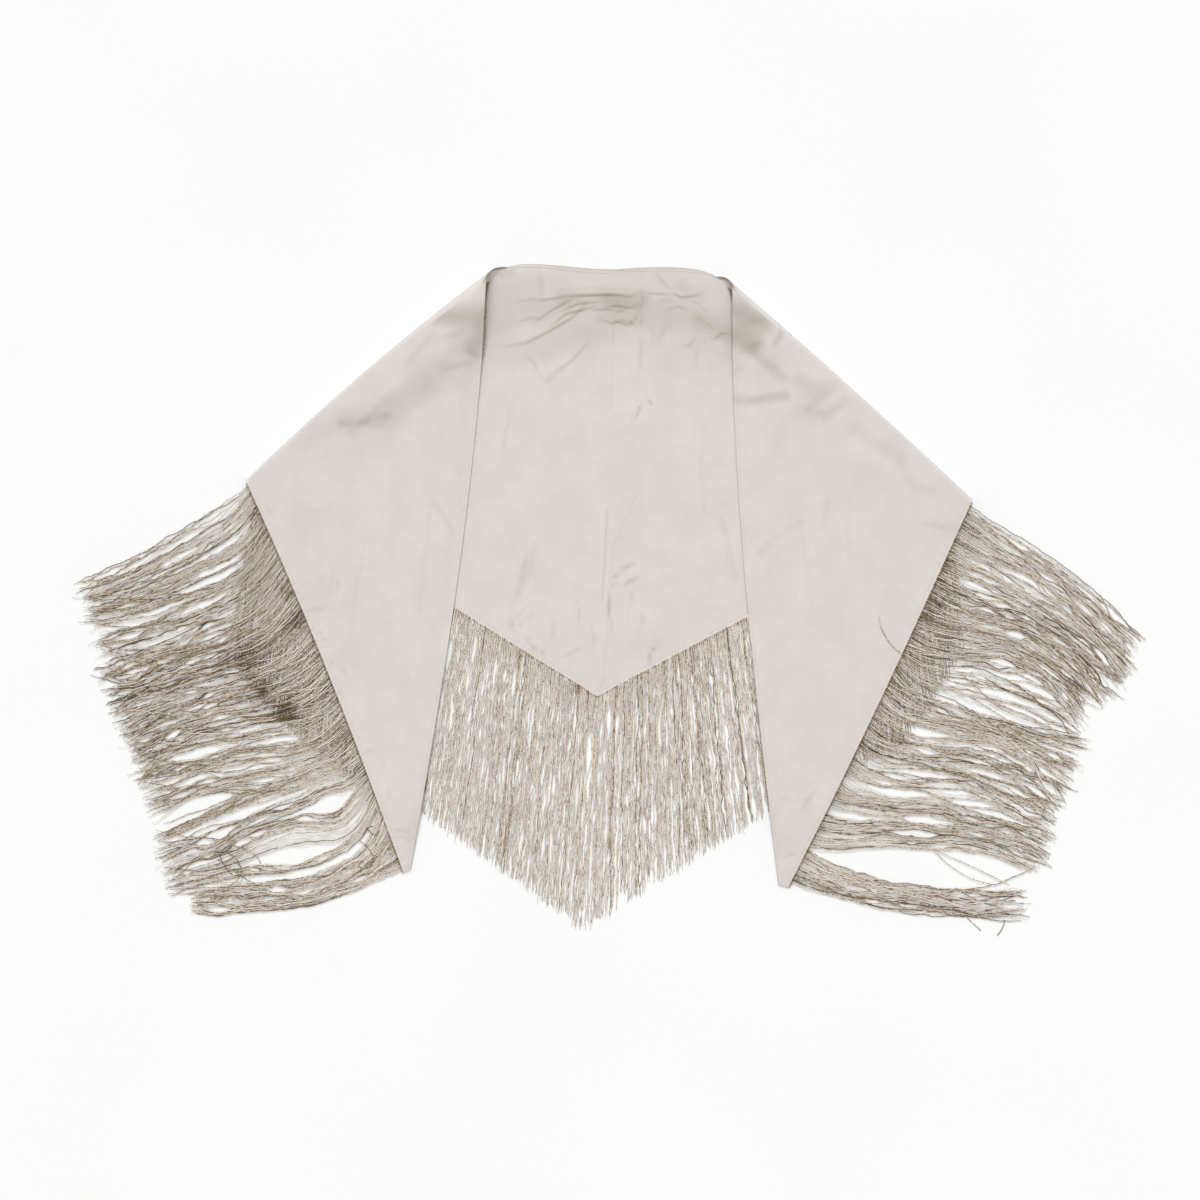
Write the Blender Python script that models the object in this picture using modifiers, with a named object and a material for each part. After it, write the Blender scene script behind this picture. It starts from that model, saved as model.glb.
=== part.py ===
"""A triangular fringed scarf, laid flat with both of its ends folded forward over the shoulders.

The scarf is cut as two long half-triangles that meet at a centre back seam. Each half lies on the
floor as one side of the back, rolls over along the shoulder and comes back on top of itself as a
front that tapers to the scarf's end. A deep fringe hangs from a narrow heading along the two short
edges of the triangle. It shows at the back point and at both fronts, and its stretch on the hidden
part of the back lies under the fronts and comes out below them.

Lengths are in millimetres. +X is to the right as the scarf is seen from above, +Y is towards the
neck edge and +Z is up from the floor that the scarf lies on.
"""

import math
from collections import namedtuple

import bmesh
import bpy
from mathutils import Vector

MM = 0.001
SCARF = "fringed_scarf"

# Cloth
WALL = 1.2
SEAM_GAP = 0.3
SHOULDER_ROLL = 4.2
ROLL_SETTLES = 0.625
ROLL_REACH = 48.0
NECK_SLANT = 1.19
HEM_SLANT = 0.32
FRONT_REST = 5.2
TIP_REST = 1.6
TIP_FALL_FROM = -228.0
TIP_FALL_TO = -292.0
EDGE_CALM = 0.12

# Fringe
HEADING_WIDTH = 4.0
HEADING_DEPTH = 1.5
HEADING_END = 1.5
LOCK_DEPTH = 1.8
LOCK_PITCH_BACK = 5.6
LOCK_PITCH_HIDDEN = 12.0
LOCK_PITCH_FRONT = 10.0
LOCK_GAP_SHARE = 0.1
LOCK_TIP_SHARE = 0.4
LOCK_NARROWS_FROM = 0.7
LOCK_RAGGED = 0.045
ROOT_DROOP = 7.0
DROOP_SHARE = 0.42
FLOOR_CLEAR = 0.4
CARRIED = 3.0
LEAVE_SHARE = 0.12
LAND_FROM = 0.4
LAND_TO = 0.56

# Grid of each half: quads across the back, round the roll, along the front, and neck to hem
BACK_QUADS = 11
ROLL_QUADS = 6
FRONT_QUADS = 19
DEPTH_QUADS = 20

# Where each lock's rows lie along it, from the heading to the tip
LONG_ROWS = (0.1, 0.22, 0.34, 0.46, 0.6, 0.8, 1.0)
SHORT_ROWS = (0.3, 0.72, 1.0)

CLOTH_COLOUR = (0.70, 0.66, 0.61, 1.0)
FRINGE_COLOUR = (0.50, 0.45, 0.37, 1.0)

# The plan measures below are taken from the middle of the view; this is the footprint's own middle
FOOTPRINT_CENTRE = Vector((-2.4, 3.9, 0))

BACK_POINT = Vector((-14, -110))
NECK_CENTRE = Vector((5, 359))
SEAM_BOW = 3.0

Half = namedtuple(
    "Half",
    "side neck_corner neck_roll neck_pull shoulder_end shoulder_bow front_end hem_end front_pull hem_bow",
)
HALVES = {
    "left": Half(
        side=-1,
        neck_corner=Vector((-129, 358)),
        neck_roll=8.5,
        neck_pull=(Vector((-35, 358)), Vector((-74, 375))),
        shoulder_end=Vector((-399, 128)),
        shoulder_bow=6.0,
        front_end=Vector((-219, -300)),
        hem_end=Vector((-227, -304)),
        front_pull=(Vector((-146, 127)), Vector((-181, -86))),
        hem_bow=-5.0,
    ),
    "right": Half(
        side=1,
        neck_corner=Vector((129, 348)),
        neck_roll=6.5,
        neck_pull=(Vector((42, 364)), Vector((79, 362))),
        shoulder_end=Vector((397, 107)),
        shoulder_bow=2.0,
        front_end=Vector((185, -317)),
        hem_end=Vector((196, -320)),
        front_pull=(Vector((133, 118)), Vector((158, -99))),
        hem_bow=3.0,
    ),
}

# The largest creases of each layer: both ends, half width and height of a soft ridge
Crease = namedtuple("Crease", "x0 y0 x1 y1 width height")
CREASES = {
    "back": (
        Crease(-98, 324, 66, 333, 26, 2.2),
        Crease(-120, 268, -50, 285, 26, 2.2),
        Crease(-56, 283, -6, 316, 28, 2.4),
        Crease(34, 222, 16, 136, 26, 1.4),
        Crease(90, 196, 72, 60, 32, 1.3),
        Crease(-66, 152, -78, 20, 32, 1.5),
        Crease(36, -20, 10, -66, 26, 1.2),
    ),
    "left": (
        Crease(-150, 262, -210, 246, 36, 2.6),
        Crease(-218, 234, -296, 184, 44, 2.6),
        Crease(-188, 62, -214, -96, 40, 1.6),
        Crease(-300, 96, -262, -60, 48, 1.8),
    ),
    "right": (
        Crease(146, 268, 196, 284, 36, 2.4),
        Crease(206, 252, 236, 196, 40, 2.2),
        Crease(150, 190, 206, 202, 36, 2.2),
        Crease(240, 172, 306, 112, 44, 2.2),
        Crease(240, 28, 224, -130, 40, 1.8),
    ),
}

# The front fringes as they lie in bundles, counted down from the shoulder: the stretch of hem each
# one grows from, the middle and width of its waist and of its tip, and whether it is carried on the
# hidden fringe where it leaves the hem
Bundle = namedtuple("Bundle", "root_from root_to waist_x waist_y waist_w tip_x tip_y tip_w carried")
FRONT_BUNDLES = {
    "left": (
        Bundle(2, 48, -486, 40, 42, -582, 2, 19, True),
        Bundle(48, 88, -477, 8, 20, -572, -23, 20, True),
        Bundle(88, 124, -486, -22, 14, -563, -57, 15, True),
        Bundle(124, 173, -490, -56, 24, -559, -86, 24, True),
        Bundle(173, 216, -492, -86, 24, -550, -115, 24, True),
        Bundle(216, 259, -486, -116, 24, -535, -145, 24, True),
        Bundle(259, 295, -482, -147, 24, -521, -176, 24, True),
        Bundle(295, 311, -440, -174, 12, -514, -210, 17, True),
        Bundle(311, 327, -427, -197, 11, -506, -238, 14, True),
        Bundle(327, 340, -407, -222, 10, -497, -265, 10, True),
        Bundle(340, 368, -389, -251, 20, -492, -292, 22, True),
        Bundle(368, 409, -370, -275, 16, -482, -320, 16, False),
        Bundle(409, 432, -352, -300, 9, -470, -334, 7, False),
        Bundle(432, 457, -358, -328, 22, -462, -345, 10, False),
    ),
    "right": (
        Bundle(3, 39, 486, 31, 28, 573, -57, 24, True),
        Bundle(39, 80, 469, 4, 27, 570, -86, 22, True),
        Bundle(80, 129, 453, -23, 26, 552, -108, 20, True),
        Bundle(129, 177, 436, -50, 24, 522, -121, 18, True),
        Bundle(177, 210, 429, -103, 12, 515, -141, 14, True),
        Bundle(210, 258, 413, -132, 24, 515, -189, 26, True),
        Bundle(258, 302, 391, -172, 22, 497, -231, 22, True),
        Bundle(302, 334, 374, -199, 14, 477, -254, 9, True),
        Bundle(334, 373, 369, -227, 18, 484, -273, 12, True),
        Bundle(373, 405, 363, -253, 16, 480, -289, 10, False),
        Bundle(405, 427, 363, -276, 14, 469, -303, 8, False),
        Bundle(427, 462, 336, -326, 22, 455, -337, 22, False),
    ),
}

# How the back fringe fans: distance from the back point along the hem, and where that lock ends.
# The first stretch shows between the fronts, and the rest lies under them
Fan = namedtuple("Fan", "root tip_x tip_y pitch")
BACK_FANS = {
    "left": (
        Fan(0, -31, -366, LOCK_PITCH_BACK),
        Fan(186, -207, -238, LOCK_PITCH_BACK),
        Fan(276, -284, -197, LOCK_PITCH_HIDDEN),
        Fan(366, -350, -153, LOCK_PITCH_HIDDEN),
        Fan(440, -420, -65, LOCK_PITCH_HIDDEN),
    ),
    "right": (
        Fan(0, -30, -366, LOCK_PITCH_BACK),
        Fan(180, 177, -238, LOCK_PITCH_BACK),
        Fan(268, 251, -202, LOCK_PITCH_HIDDEN),
        Fan(355, 324, -161, LOCK_PITCH_HIDDEN),
        Fan(434, 386, -65, LOCK_PITCH_HIDDEN),
    ),
}


def smooth(t):
    """Eases from 0 to 1 as t does, and holds outside that range."""
    t = min(max(t, 0.0), 1.0)
    return t * t * (3 - 2 * t)


def lerp(a, b, t):
    return a + (b - a) * t


def left_of(direction):
    """The unit vector a quarter turn to the left of a plan direction."""
    return Vector((-direction.y, direction.x)).normalized()


def bowed(a, b, rise, t):
    """A point on the shallow arc from a to b that stands rise to the left of its chord."""
    return lerp(a, b, t) + left_of(b - a) * (4 * rise * t * (1 - t))


def pulled(a, pulls, b, t):
    """A point on the cubic curve from a to b whose two pull points shape it."""
    first, second = pulls
    s = 1 - t
    return a * s**3 + first * (3 * s * s * t) + second * (3 * s * t * t) + b * t**3


def roll_radius(half, v):
    """The roll at the shoulder is fullest at the neck edge and flattest at the hem."""
    return lerp(half.neck_roll, SHOULDER_ROLL, smooth(v / ROLL_SETTLES))


def shoulder(half, v):
    """The outline of the shoulder roll as seen from above."""
    return bowed(half.neck_corner, half.shoulder_end, half.side * half.shoulder_bow, v)


def outward_at_shoulder(half):
    return left_of(half.shoulder_end - half.neck_corner) * half.side


def roll_centre(half, v, turn):
    """The plan line inside the roll, one roll radius in from the outline.

    The neck edge and the hem cross the shoulder at a slant, so a row of the cloth slides along the
    shoulder as it wraps: turn runs from 0 where it leaves the back to 1 where it joins the front.
    """
    radius = roll_radius(half, v)
    slant = lerp(NECK_SLANT, HEM_SLANT, smooth(v / ROLL_SETTLES))
    slide = math.pi * radius * slant * (turn - 0.5)
    along = (half.shoulder_end - half.neck_corner).normalized()
    return shoulder(half, v) - outward_at_shoulder(half) * radius + along * slide


def back_fold(half, v):
    """Where the back turns up into the roll."""
    return roll_centre(half, v, 0.0)


def front_fold(half, v):
    """Where the roll comes over into the front."""
    return roll_centre(half, v, 1.0)


def seam(half, v):
    """This half's edge of the centre back seam."""
    middle = bowed(NECK_CENTRE, BACK_POINT, SEAM_BOW, v)
    return middle + Vector((half.side * SEAM_GAP / 2, 0))


def neck_edge(half, s):
    return pulled(seam(half, 0), half.neck_pull, back_fold(half, 0), s)


def back_hem(half, s):
    return lerp(seam(half, 1), back_fold(half, 1), s)


def front_edge(half, s):
    return pulled(front_fold(half, 0), half.front_pull, half.front_end, s)


def front_hem(half, s):
    return bowed(front_fold(half, 1), half.hem_end, half.side * half.hem_bow, s)


def patch(top, bottom, start, end, s, v):
    """A point of the smooth patch between four plan curves, by Coons's rule."""
    ruled = lerp(top(s), bottom(s), v) + lerp(start(v), end(v), s)
    return ruled - lerp(lerp(top(0), top(1), s), lerp(bottom(0), bottom(1), s), v)


def back_plan(half, s, v):
    return patch(
        lambda t: neck_edge(half, t),
        lambda t: back_hem(half, t),
        lambda t: seam(half, t),
        lambda t: back_fold(half, t),
        s,
        v,
    )


def front_plan(half, s, v):
    return patch(
        lambda t: front_edge(half, t),
        lambda t: front_hem(half, t),
        lambda t: front_fold(half, t),
        lambda t: lerp(half.front_end, half.hem_end, t),
        s,
        v,
    )


def ridge(crease, point):
    """The height of one soft crease at a plan point: rounded across it, and fading at its ends."""
    start = Vector((crease.x0, crease.y0))
    along = Vector((crease.x1, crease.y1)) - start
    t = (point - start).dot(along) / along.length_squared
    nearest = start + along * min(max(t, 0.0), 1.0)
    across = min((point - nearest).length / crease.width, 1.0)
    fade = math.sin(math.pi * min(max(t * 0.8 + 0.1, 0.0), 1.0))
    return crease.height * (1 - across * across) ** 2 * fade


def relief(layer, point, v):
    """All creases of one layer, calmed at the neck edge and at the hem."""
    calm = smooth(v / EDGE_CALM) * smooth((1 - v) / EDGE_CALM)
    return calm * sum(ridge(crease, point) for crease in CREASES[layer])


def front_height(half, point, v):
    """The top of the front: high beside the roll, at rest on the back, then down to the floor."""
    fall = (TIP_FALL_FROM - point.y) / (TIP_FALL_FROM - TIP_FALL_TO)
    rest = lerp(FRONT_REST, TIP_REST, smooth(fall))
    from_roll = (point - front_fold(half, v)).dot(outward_at_shoulder(half))
    near_roll = math.exp(-((from_roll / ROLL_REACH) ** 2))
    return lerp(rest, 2 * roll_radius(half, v), near_roll)


def cloth_point(name, column, v):
    """The right side of the cloth at one grid column: under the back, round the roll, on the front."""
    half = HALVES[name]
    if column <= BACK_QUADS:
        plan = back_plan(half, column / BACK_QUADS, v)
        return plan.to_3d() + Vector((0, 0, relief("back", plan, v)))
    if column < BACK_QUADS + ROLL_QUADS:
        turn = (column - BACK_QUADS) / ROLL_QUADS
        angle = math.pi * turn
        radius = roll_radius(half, v)
        plan = roll_centre(half, v, turn) + outward_at_shoulder(half) * (radius * math.sin(angle))
        return plan.to_3d() + Vector((0, 0, radius * (1 - math.cos(angle))))
    s = (column - BACK_QUADS - ROLL_QUADS) / FRONT_QUADS
    plan = front_plan(half, s, v)
    height = front_height(half, plan, v) + relief(name, plan, v)
    return plan.to_3d() + Vector((0, 0, height))


def placed(point):
    """A measured point in metres from the middle of the footprint."""
    return (point - FOOTPRINT_CENTRE) * MM


def new_material(name, colour, roughness):
    material = bpy.data.materials.new(name)
    material.use_nodes = True
    shader = material.node_tree.nodes["Principled BSDF"]
    shader.inputs["Base Color"].default_value = colour
    shader.inputs["Roughness"].default_value = roughness
    shader.inputs["Metallic"].default_value = 0.0
    return material


def add_object(bm, name, collection, material):
    mesh = bpy.data.meshes.new(name)
    bm.to_mesh(mesh)
    bm.free()
    mesh.materials.append(material)
    mesh.shade_smooth()
    obj = bpy.data.objects.new(name, mesh)
    collection.objects.link(obj)
    return obj


def add_cloth(name, collection, material):
    """One half of the scarf: a grid laid along the folded cut, given its wall on the wrong side."""
    columns = BACK_QUADS + ROLL_QUADS + FRONT_QUADS
    bm = bmesh.new()
    bmesh.ops.create_grid(bm, x_segments=columns, y_segments=DEPTH_QUADS, size=0.5)
    for vert in bm.verts:
        column = round((vert.co.x + 0.5) * columns)
        v = round((vert.co.y + 0.5) * DEPTH_QUADS) / DEPTH_QUADS
        vert.co = placed(cloth_point(name, column, v))
    if HALVES[name].side < 0:
        bmesh.ops.reverse_faces(bm, faces=bm.faces[:])
    obj = add_object(bm, f"cloth_{name}", collection, material)
    wall = obj.modifiers.new("wall", "SOLIDIFY")
    wall.thickness = WALL * MM
    wall.offset = -1.0
    wall.use_even_offset = True
    return obj


def hem_path(hem, half, distance, length):
    """A plan point at a distance along a hem, and a step of unit width away from the cloth.

    At the back point the two headings are mitred, so there the step runs down the seam.
    """
    s = min(max(distance / length, 0.0), 1.0)
    step = 1e-3
    ahead = hem(half, min(s + step, 1.0)) - hem(half, max(s - step, 0.0))
    outward = left_of(ahead) * (-half.side if hem is back_hem else half.side)
    if hem is back_hem and distance <= 0:
        return hem(half, s), Vector((0, -1)) / -outward.y
    return hem(half, s), outward


def hem_length(hem, half):
    return (hem(half, 1.0) - hem(half, 0.0)).length


class Edge:
    """One side of a bundle: a smooth line from its root on the heading past its waist to its tip."""

    def __init__(self, root, waist, tip, waist_share, droop):
        self.root, self.waist, self.tip = root, waist, tip
        self.waist_share, self.droop = waist_share, droop

    def at(self, s):
        w = self.waist_share
        root = self.root * ((s - w) * (s - 1) / w)
        waist = self.waist * (s * (s - 1) / (w * (w - 1)))
        tip = self.tip * (s * (s - w) / (1 - w))
        sag = self.droop * math.sin(math.pi * min(s / DROOP_SHARE, 1.0)) ** 2
        return root + waist + tip - Vector((0, sag))


def heading_edge(hem, half, distance, length):
    point, outward = hem_path(hem, half, distance, length)
    return point + outward * (SEAM_GAP + HEADING_WIDTH)


def front_bundles(name):
    """The bundles of one front, each as its two edges, the hem stretch it uses and its lock count."""
    half = HALVES[name]
    length = hem_length(front_hem, half)
    for row in FRONT_BUNDLES[name]:
        roots = [heading_edge(front_hem, half, d, length) for d in (row.root_from, row.root_to)]
        waist, tip = Vector((row.waist_x, row.waist_y)), Vector((row.tip_x, row.tip_y))
        root = (roots[0] + roots[1]) / 2
        to_waist, to_tip = (waist - root).length, (tip - waist).length
        share = to_waist / (to_waist + to_tip)
        across_waist = left_of(tip - root) * (half.side * row.waist_w / 2)
        across_tip = left_of(tip - waist) * (half.side * row.tip_w / 2)
        upper = Edge(roots[0], waist + across_waist, tip + across_tip, share, ROOT_DROOP)
        lower = Edge(roots[1], waist - across_waist, tip - across_tip, share, ROOT_DROOP)
        span = row.root_to - row.root_from
        count = max(1, round(span / LOCK_PITCH_FRONT))
        yield upper, lower, row.root_from, row.root_to, count, row.carried


def back_bundles(name):
    """The fan of the back fringe, stretch by stretch, in the same form as the front bundles."""
    half = HALVES[name]
    length = hem_length(back_hem, half)
    rows = BACK_FANS[name]
    for first, second in zip(rows, rows[1:]):
        edges = []
        for row in (first, second):
            root = heading_edge(back_hem, half, row.root, length)
            tip = Vector((row.tip_x, row.tip_y))
            edges.append(Edge(root, (root + tip) / 2, tip, 0.5, 0.0))
        count = round((second.root - first.root) / second.pitch)
        yield edges[0], edges[1], first.root, second.root, count, False


def ragged(index):
    """A small shortening that differs from lock to lock in a fixed, uneven order."""
    return LOCK_RAGGED * (0.5 + 0.5 * math.sin(2.4 * index + 0.7 * math.sin(1.3 * index)))


def lock_list(bundles):
    """Every lock as its bundle's two edges, its share across the bundle and its stretch of hem."""
    locks = []
    for upper, lower, root_from, root_to, count, carried in bundles:
        for i in range(count):
            first, last = (i + LOCK_GAP_SHARE) / count, (i + 1 - LOCK_GAP_SHARE) / count
            hem_span = (lerp(root_from, root_to, first), lerp(root_from, root_to, last))
            locks.append((upper, lower, first, last, hem_span, carried))
    return locks


def lock_corner(lock, index, s, at_last, at_top, heading_bottom):
    """One corner of a lock's four-sided section, at a share s of its length."""
    upper, lower, first, last, _, carried = lock
    reach = s * (1 - ragged(index) * smooth(s))
    narrowing = lerp(1.0, LOCK_TIP_SHARE, smooth((s - LOCK_NARROWS_FROM) / (1 - LOCK_NARROWS_FROM)))
    middle, spread = (first + last) / 2, (last - first) / 2 * narrowing
    q = middle + spread * (1 if at_last else -1)
    plan = lerp(upper.at(reach), lower.at(reach), q)
    left_at = CARRIED if carried else FLOOR_CLEAR
    leaving = lerp(heading_bottom, left_at, smooth(s / LEAVE_SHARE))
    bottom = lerp(leaving, FLOOR_CLEAR, smooth((s - LAND_FROM) / (LAND_TO - LAND_FROM)))
    depth = LOCK_DEPTH * narrowing
    return plan.to_3d() + Vector((0, 0, bottom + (depth if at_top else 0.0)))


def heading_level(hem, half, point):
    """The underside of the heading, level with the cloth that it is sewn to."""
    if hem is back_hem:
        return FLOOR_CLEAR
    return max(front_height(half, point, 1.0) - HEADING_DEPTH, FLOOR_CLEAR)


def add_fringe(name, side_name, hem, bundles, rows, collection, material):
    """A heading beside one hem, with each lock drawn out of the heading's outer side."""
    half = HALVES[side_name]
    length = hem_length(hem, half)
    locks = lock_list(bundles)
    cuts = [max(locks[0][4][0] - HEADING_END, 0.0)]
    for lock in locks:
        cuts.extend(lock[4])
    cuts.append(min(locks[-1][4][1] + HEADING_END, length))
    bm = bmesh.new()
    bmesh.ops.create_grid(bm, x_segments=len(cuts) - 1, y_segments=1, size=0.5)
    for vert in bm.verts:
        vert.co.x = round((vert.co.x + 0.5) * (len(cuts) - 1))
        vert.co.y = round(vert.co.y + 0.5)
    raised = bmesh.ops.extrude_face_region(bm, geom=bm.faces[:], use_keep_orig=True)
    for item in raised["geom"]:
        if isinstance(item, bmesh.types.BMVert):
            item.co.z = 1.0
    bmesh.ops.recalc_face_normals(bm, faces=bm.faces[:])
    places = {}
    bottoms = {}
    for vert in bm.verts:
        cut = cuts[round(vert.co.x)]
        point, outward = hem_path(hem, half, cut, length)
        bottom = heading_level(hem, half, point)
        bottoms[round(vert.co.x)] = bottom
        plan = point + outward * (SEAM_GAP + HEADING_WIDTH * vert.co.y)
        places[vert] = plan.to_3d() + Vector((0, 0, bottom + HEADING_DEPTH * vert.co.z))
    outer = {}
    for face in bm.faces:
        if all(vert.co.y > 0.5 for vert in face.verts):
            outer[round(min(vert.co.x for vert in face.verts))] = face
    for index, lock in enumerate(locks):
        face = outer[2 * index + 1]
        for s in rows:
            face = bmesh.ops.extrude_discrete_faces(bm, faces=[face])["faces"][0]
            for vert in face.verts:
                at_last = round(vert.co.x) == 2 * index + 2
                level = bottoms[round(vert.co.x)]
                places[vert] = lock_corner(lock, index, s, at_last, vert.co.z > 0.5, level)
    for vert in bm.verts:
        vert.co = placed(places[vert])
    if bm.calc_volume(signed=True) < 0:
        bmesh.ops.reverse_faces(bm, faces=bm.faces[:])
    return add_object(bm, name, collection, material)


def main():
    for obj in list(bpy.data.objects):
        bpy.data.objects.remove(obj)
    collection = bpy.data.collections.new(SCARF)
    bpy.context.scene.collection.children.link(collection)
    cloth = new_material("washed_silk_cloth", CLOTH_COLOUR, 0.62)
    yarn = new_material("twisted_rayon_fringe", FRINGE_COLOUR, 0.5)
    for side in HALVES:
        add_cloth(side, collection, cloth)
        add_fringe(
            f"fringe_back_{side}", side, back_hem, back_bundles(side), SHORT_ROWS, collection, yarn
        )
        add_fringe(
            f"fringe_front_{side}", side, front_hem, front_bundles(side), LONG_ROWS, collection, yarn
        )


main()
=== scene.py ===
"""The looks of the fringed scarf: washed silk cloth with its creases and hems, its sewing, and the
twisted fringe strand by strand, lying on a white table and seen from straight above.

Plan lengths are in millimetres from the middle of the view: +X to the right, +Y towards the neck
edge and +Z up from the table. placed() turns them into metres in the part's own frame.
"""

import math
from collections import namedtuple

import bmesh
import bpy
import numpy as np
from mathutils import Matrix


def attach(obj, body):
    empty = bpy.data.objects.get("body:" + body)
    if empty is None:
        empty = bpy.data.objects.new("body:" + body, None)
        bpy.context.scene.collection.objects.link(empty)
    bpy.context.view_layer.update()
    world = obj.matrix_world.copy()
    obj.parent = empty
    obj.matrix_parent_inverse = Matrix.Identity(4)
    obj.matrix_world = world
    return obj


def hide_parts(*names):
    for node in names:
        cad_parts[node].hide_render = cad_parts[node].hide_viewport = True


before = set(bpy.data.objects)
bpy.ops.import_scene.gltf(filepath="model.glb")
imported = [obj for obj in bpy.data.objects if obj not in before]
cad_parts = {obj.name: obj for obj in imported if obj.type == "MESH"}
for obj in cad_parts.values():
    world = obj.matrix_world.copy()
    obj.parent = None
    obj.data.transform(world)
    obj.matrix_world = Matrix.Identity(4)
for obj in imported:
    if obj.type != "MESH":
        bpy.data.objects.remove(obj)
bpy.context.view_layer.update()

MM = 0.001
UP = np.array((0.0, 0.0, 1.0))

# Cloth: its thickness, the gap between its halves at the centre seam, and the angle at which an
# edge stays sharp
CLOTH = 0.5
SEAM_GAP = 0.06
SHARP_ANGLE = 50

# The roll at the shoulder: its radius at the hem, the share of the shoulder over which it settles,
# how far it lifts the front, and how far the rows slide along it at the neck and at the hem
SHOULDER_ROLL = 4.2
ROLL_SETTLES = 0.625
ROLL_REACH = 48.0
NECK_SLANT = 1.19
HEM_SLANT = 0.32

# How high the front rests on the back and on the table, and between which places it comes down
FRONT_REST = 5.2
TIP_REST = 1.6
TIP_FALL_FROM = -228.0
TIP_FALL_TO = -292.0

# How far the front's edge sinks onto the back, over which width, and where the fringe lifts it
EDGE_SINKS = 3.1
EDGE_SINKS_OVER = 34.0
EDGE_ON_FRINGE = -66.0
FRINGE_LIFTS_OVER = 40.0

# The share of the depth over which folds calm down at an edge, the widths of the turned hem, of the
# fringed hem and of its rim, the pitch and height of the puckers that the sewing leaves, and how
# high the cloth's slow unevenness stands
EDGE_CALM = 0.12
NECK_HEM = 4.6
FRINGED_HEM = 3.2
RIM = 1.7
PUCKER_PITCH = 11.5
PUCKER = 0.3
SWELL = 0.7

# Creases stand CREASE_LIFT of their height above a gutter. A gutter has its half width, how much
# wider it is beside a wide crease, and how much painted shade darkens it: keen on the back, soft on
# the fronts.
CREASE_LIFT = 0.4
GUTTER_DEPTH = 0.35
HOLLOW_DEPTH = 1.5
Gutter = namedtuple("Gutter", "narrow widens dark")
KEEN = Gutter(1.15, 0.05, 1.3)
SOFT = Gutter(1.7, 0.12, 0.55)

# Grid of each half: columns of the back, the roll and the front, rows, and how they crowd
BACK_COLUMNS = 98
ROLL_COLUMNS = 12
FRONT_COLUMNS = 190
MIDDLE_ROWS = 142
BACK_CROWDING = 1.6
FRONT_CROWDING = 1.15
EDGE_ZONE = 9.0
EDGE_ZONE_MOST = 0.3
EDGE_ROWS = (0.0, 0.06, 0.13, 0.2, 0.28, 0.36, 0.44, 0.52, 0.62, 0.74, 0.88)

# The seam's allowance: rows down it, shares across it, its cloth, and where its grain starts
ALLOWANCE_ROWS = 240
ALLOWANCE_ACROSS = np.array((0.0, 0.02, 0.06, 0.14, 0.26, 0.4, 0.55, 0.7, 0.82, 0.9, 0.95, 0.98, 1.0))
ALLOWANCE_CLOTH = 0.18
ALLOWANCE_GRAIN = (3, 7)

# Sewing: a stitch's length, pitch and heights, a link of the fringe's heading, and the radius of
# the thread and of the heading's yarn
STITCH = 1.7
STITCH_PITCH = 2.6
STITCH_HEIGHTS = np.array((-0.12, 0.1, 0.1, -0.12))
LINK_PITCH = 1.8
LINK_REACH = 1.7
THREAD = 0.16
CHAIN_YARN = 0.32

# Fringe. STRAND is a strand's radius: the real yarn is about half as wide, which is too fine to show
# here, so a strand is drawn about 1 mm wide and stands for the two or so yarns beside each other.
STRAND = 0.54
THICKNESS_VARIES = (0.82, 1.14)
FRONT_STRANDS_PER_MM = {"left": 0.92, "right": 0.88}
FRONT_RINGS = 55
STRAY_RINGS = 45

# Tone runs from 0, dark, to 1, light: that of the fronts' strands, how much painted light they get
# at the hem against the shade of the cloth's edge, how far strands differ, the share of dark strands,
# how much darker those are, and how much painted shade the lower strands of a pile get and painted
# light the upper ones
FRONT_TONE = {"left": 0.66, "right": 0.78}
HEM_PAINTED_LIGHT = {"left": 0.68, "right": 0.42}
FRONT_SPREAD = 0.19
BACK_SPREAD = 0.13
DARK_STRANDS = 0.22
BACK_DARK_STRANDS = 0.05
DARKER = 0.55
FRONT_PILE_PAINTED_SHADE = 0.8
BACK_PILE_PAINTED_SHADE = 0.3
STRAY_TONE = 0.6
STRAY_SPREAD = 0.15

# How a strand lies: the height it piles up, the share that strays, how far it bends, its crinkle,
# its beats from end to end, the height of its waves, and the spacing of the clumps of neighbours
STACK = 1.1
FRONT_BEND = 1.5
BACK_BEND = 0.9
BACK_GATHERS = 0.2
STRAYING = 0.09
CRINKLE = 0.3
LONG_BEATS = (0.6, 1.6)
SHORT_BEATS = (4.0, 13.0)
WAVES = (0.2, 0.8)
FINE_CLUMPS = 5.3
BROAD_CLUMPS = 14.0

# How the fronts' strands fill their bundle's waist and tip: how much of its width, how far strands
# scatter, near and astray, which share crosses to the next bundle, and how their lengths differ
WAIST_FILL = 0.94
TIP_FILL = 1.15
WAIST_SCATTER = (0.1, 0.5)
TIP_SCATTER = (0.2, 0.7)
FARTHEST = 0.6
CROSSING = 0.08
TIP_LENGTHS = (-2, 5.5)
DROOP_PEAK = 0.21
DROOP_VARIES = (0.85, 1.15)

# Small gaps between strands: how many, past which share of the strands, and the widest half width
Gaps = namedtuple("Gaps", "count start widest")
FRONT_GAPS = Gaps(820, 0.2, 1.35)
BACK_GAPS = Gaps(480, 0.06, 0.95)
GAP_LENGTHS = (7, 22)
GAP_NARROWEST = 0.55
HEM_HOLDS = 40.0

# Heights: over the table, over the hidden fringe, how far below the front's top a strand leaves the
# hem and in which share of its length, and how far past the hidden fringe's tips it comes down
FLOOR_CLEAR = 0.4
ROOT_BELOW = 1.1
CARRIED = 2.5
LEAVE_SHARE = 0.1
LANDS_OVER = 14.0

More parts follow.
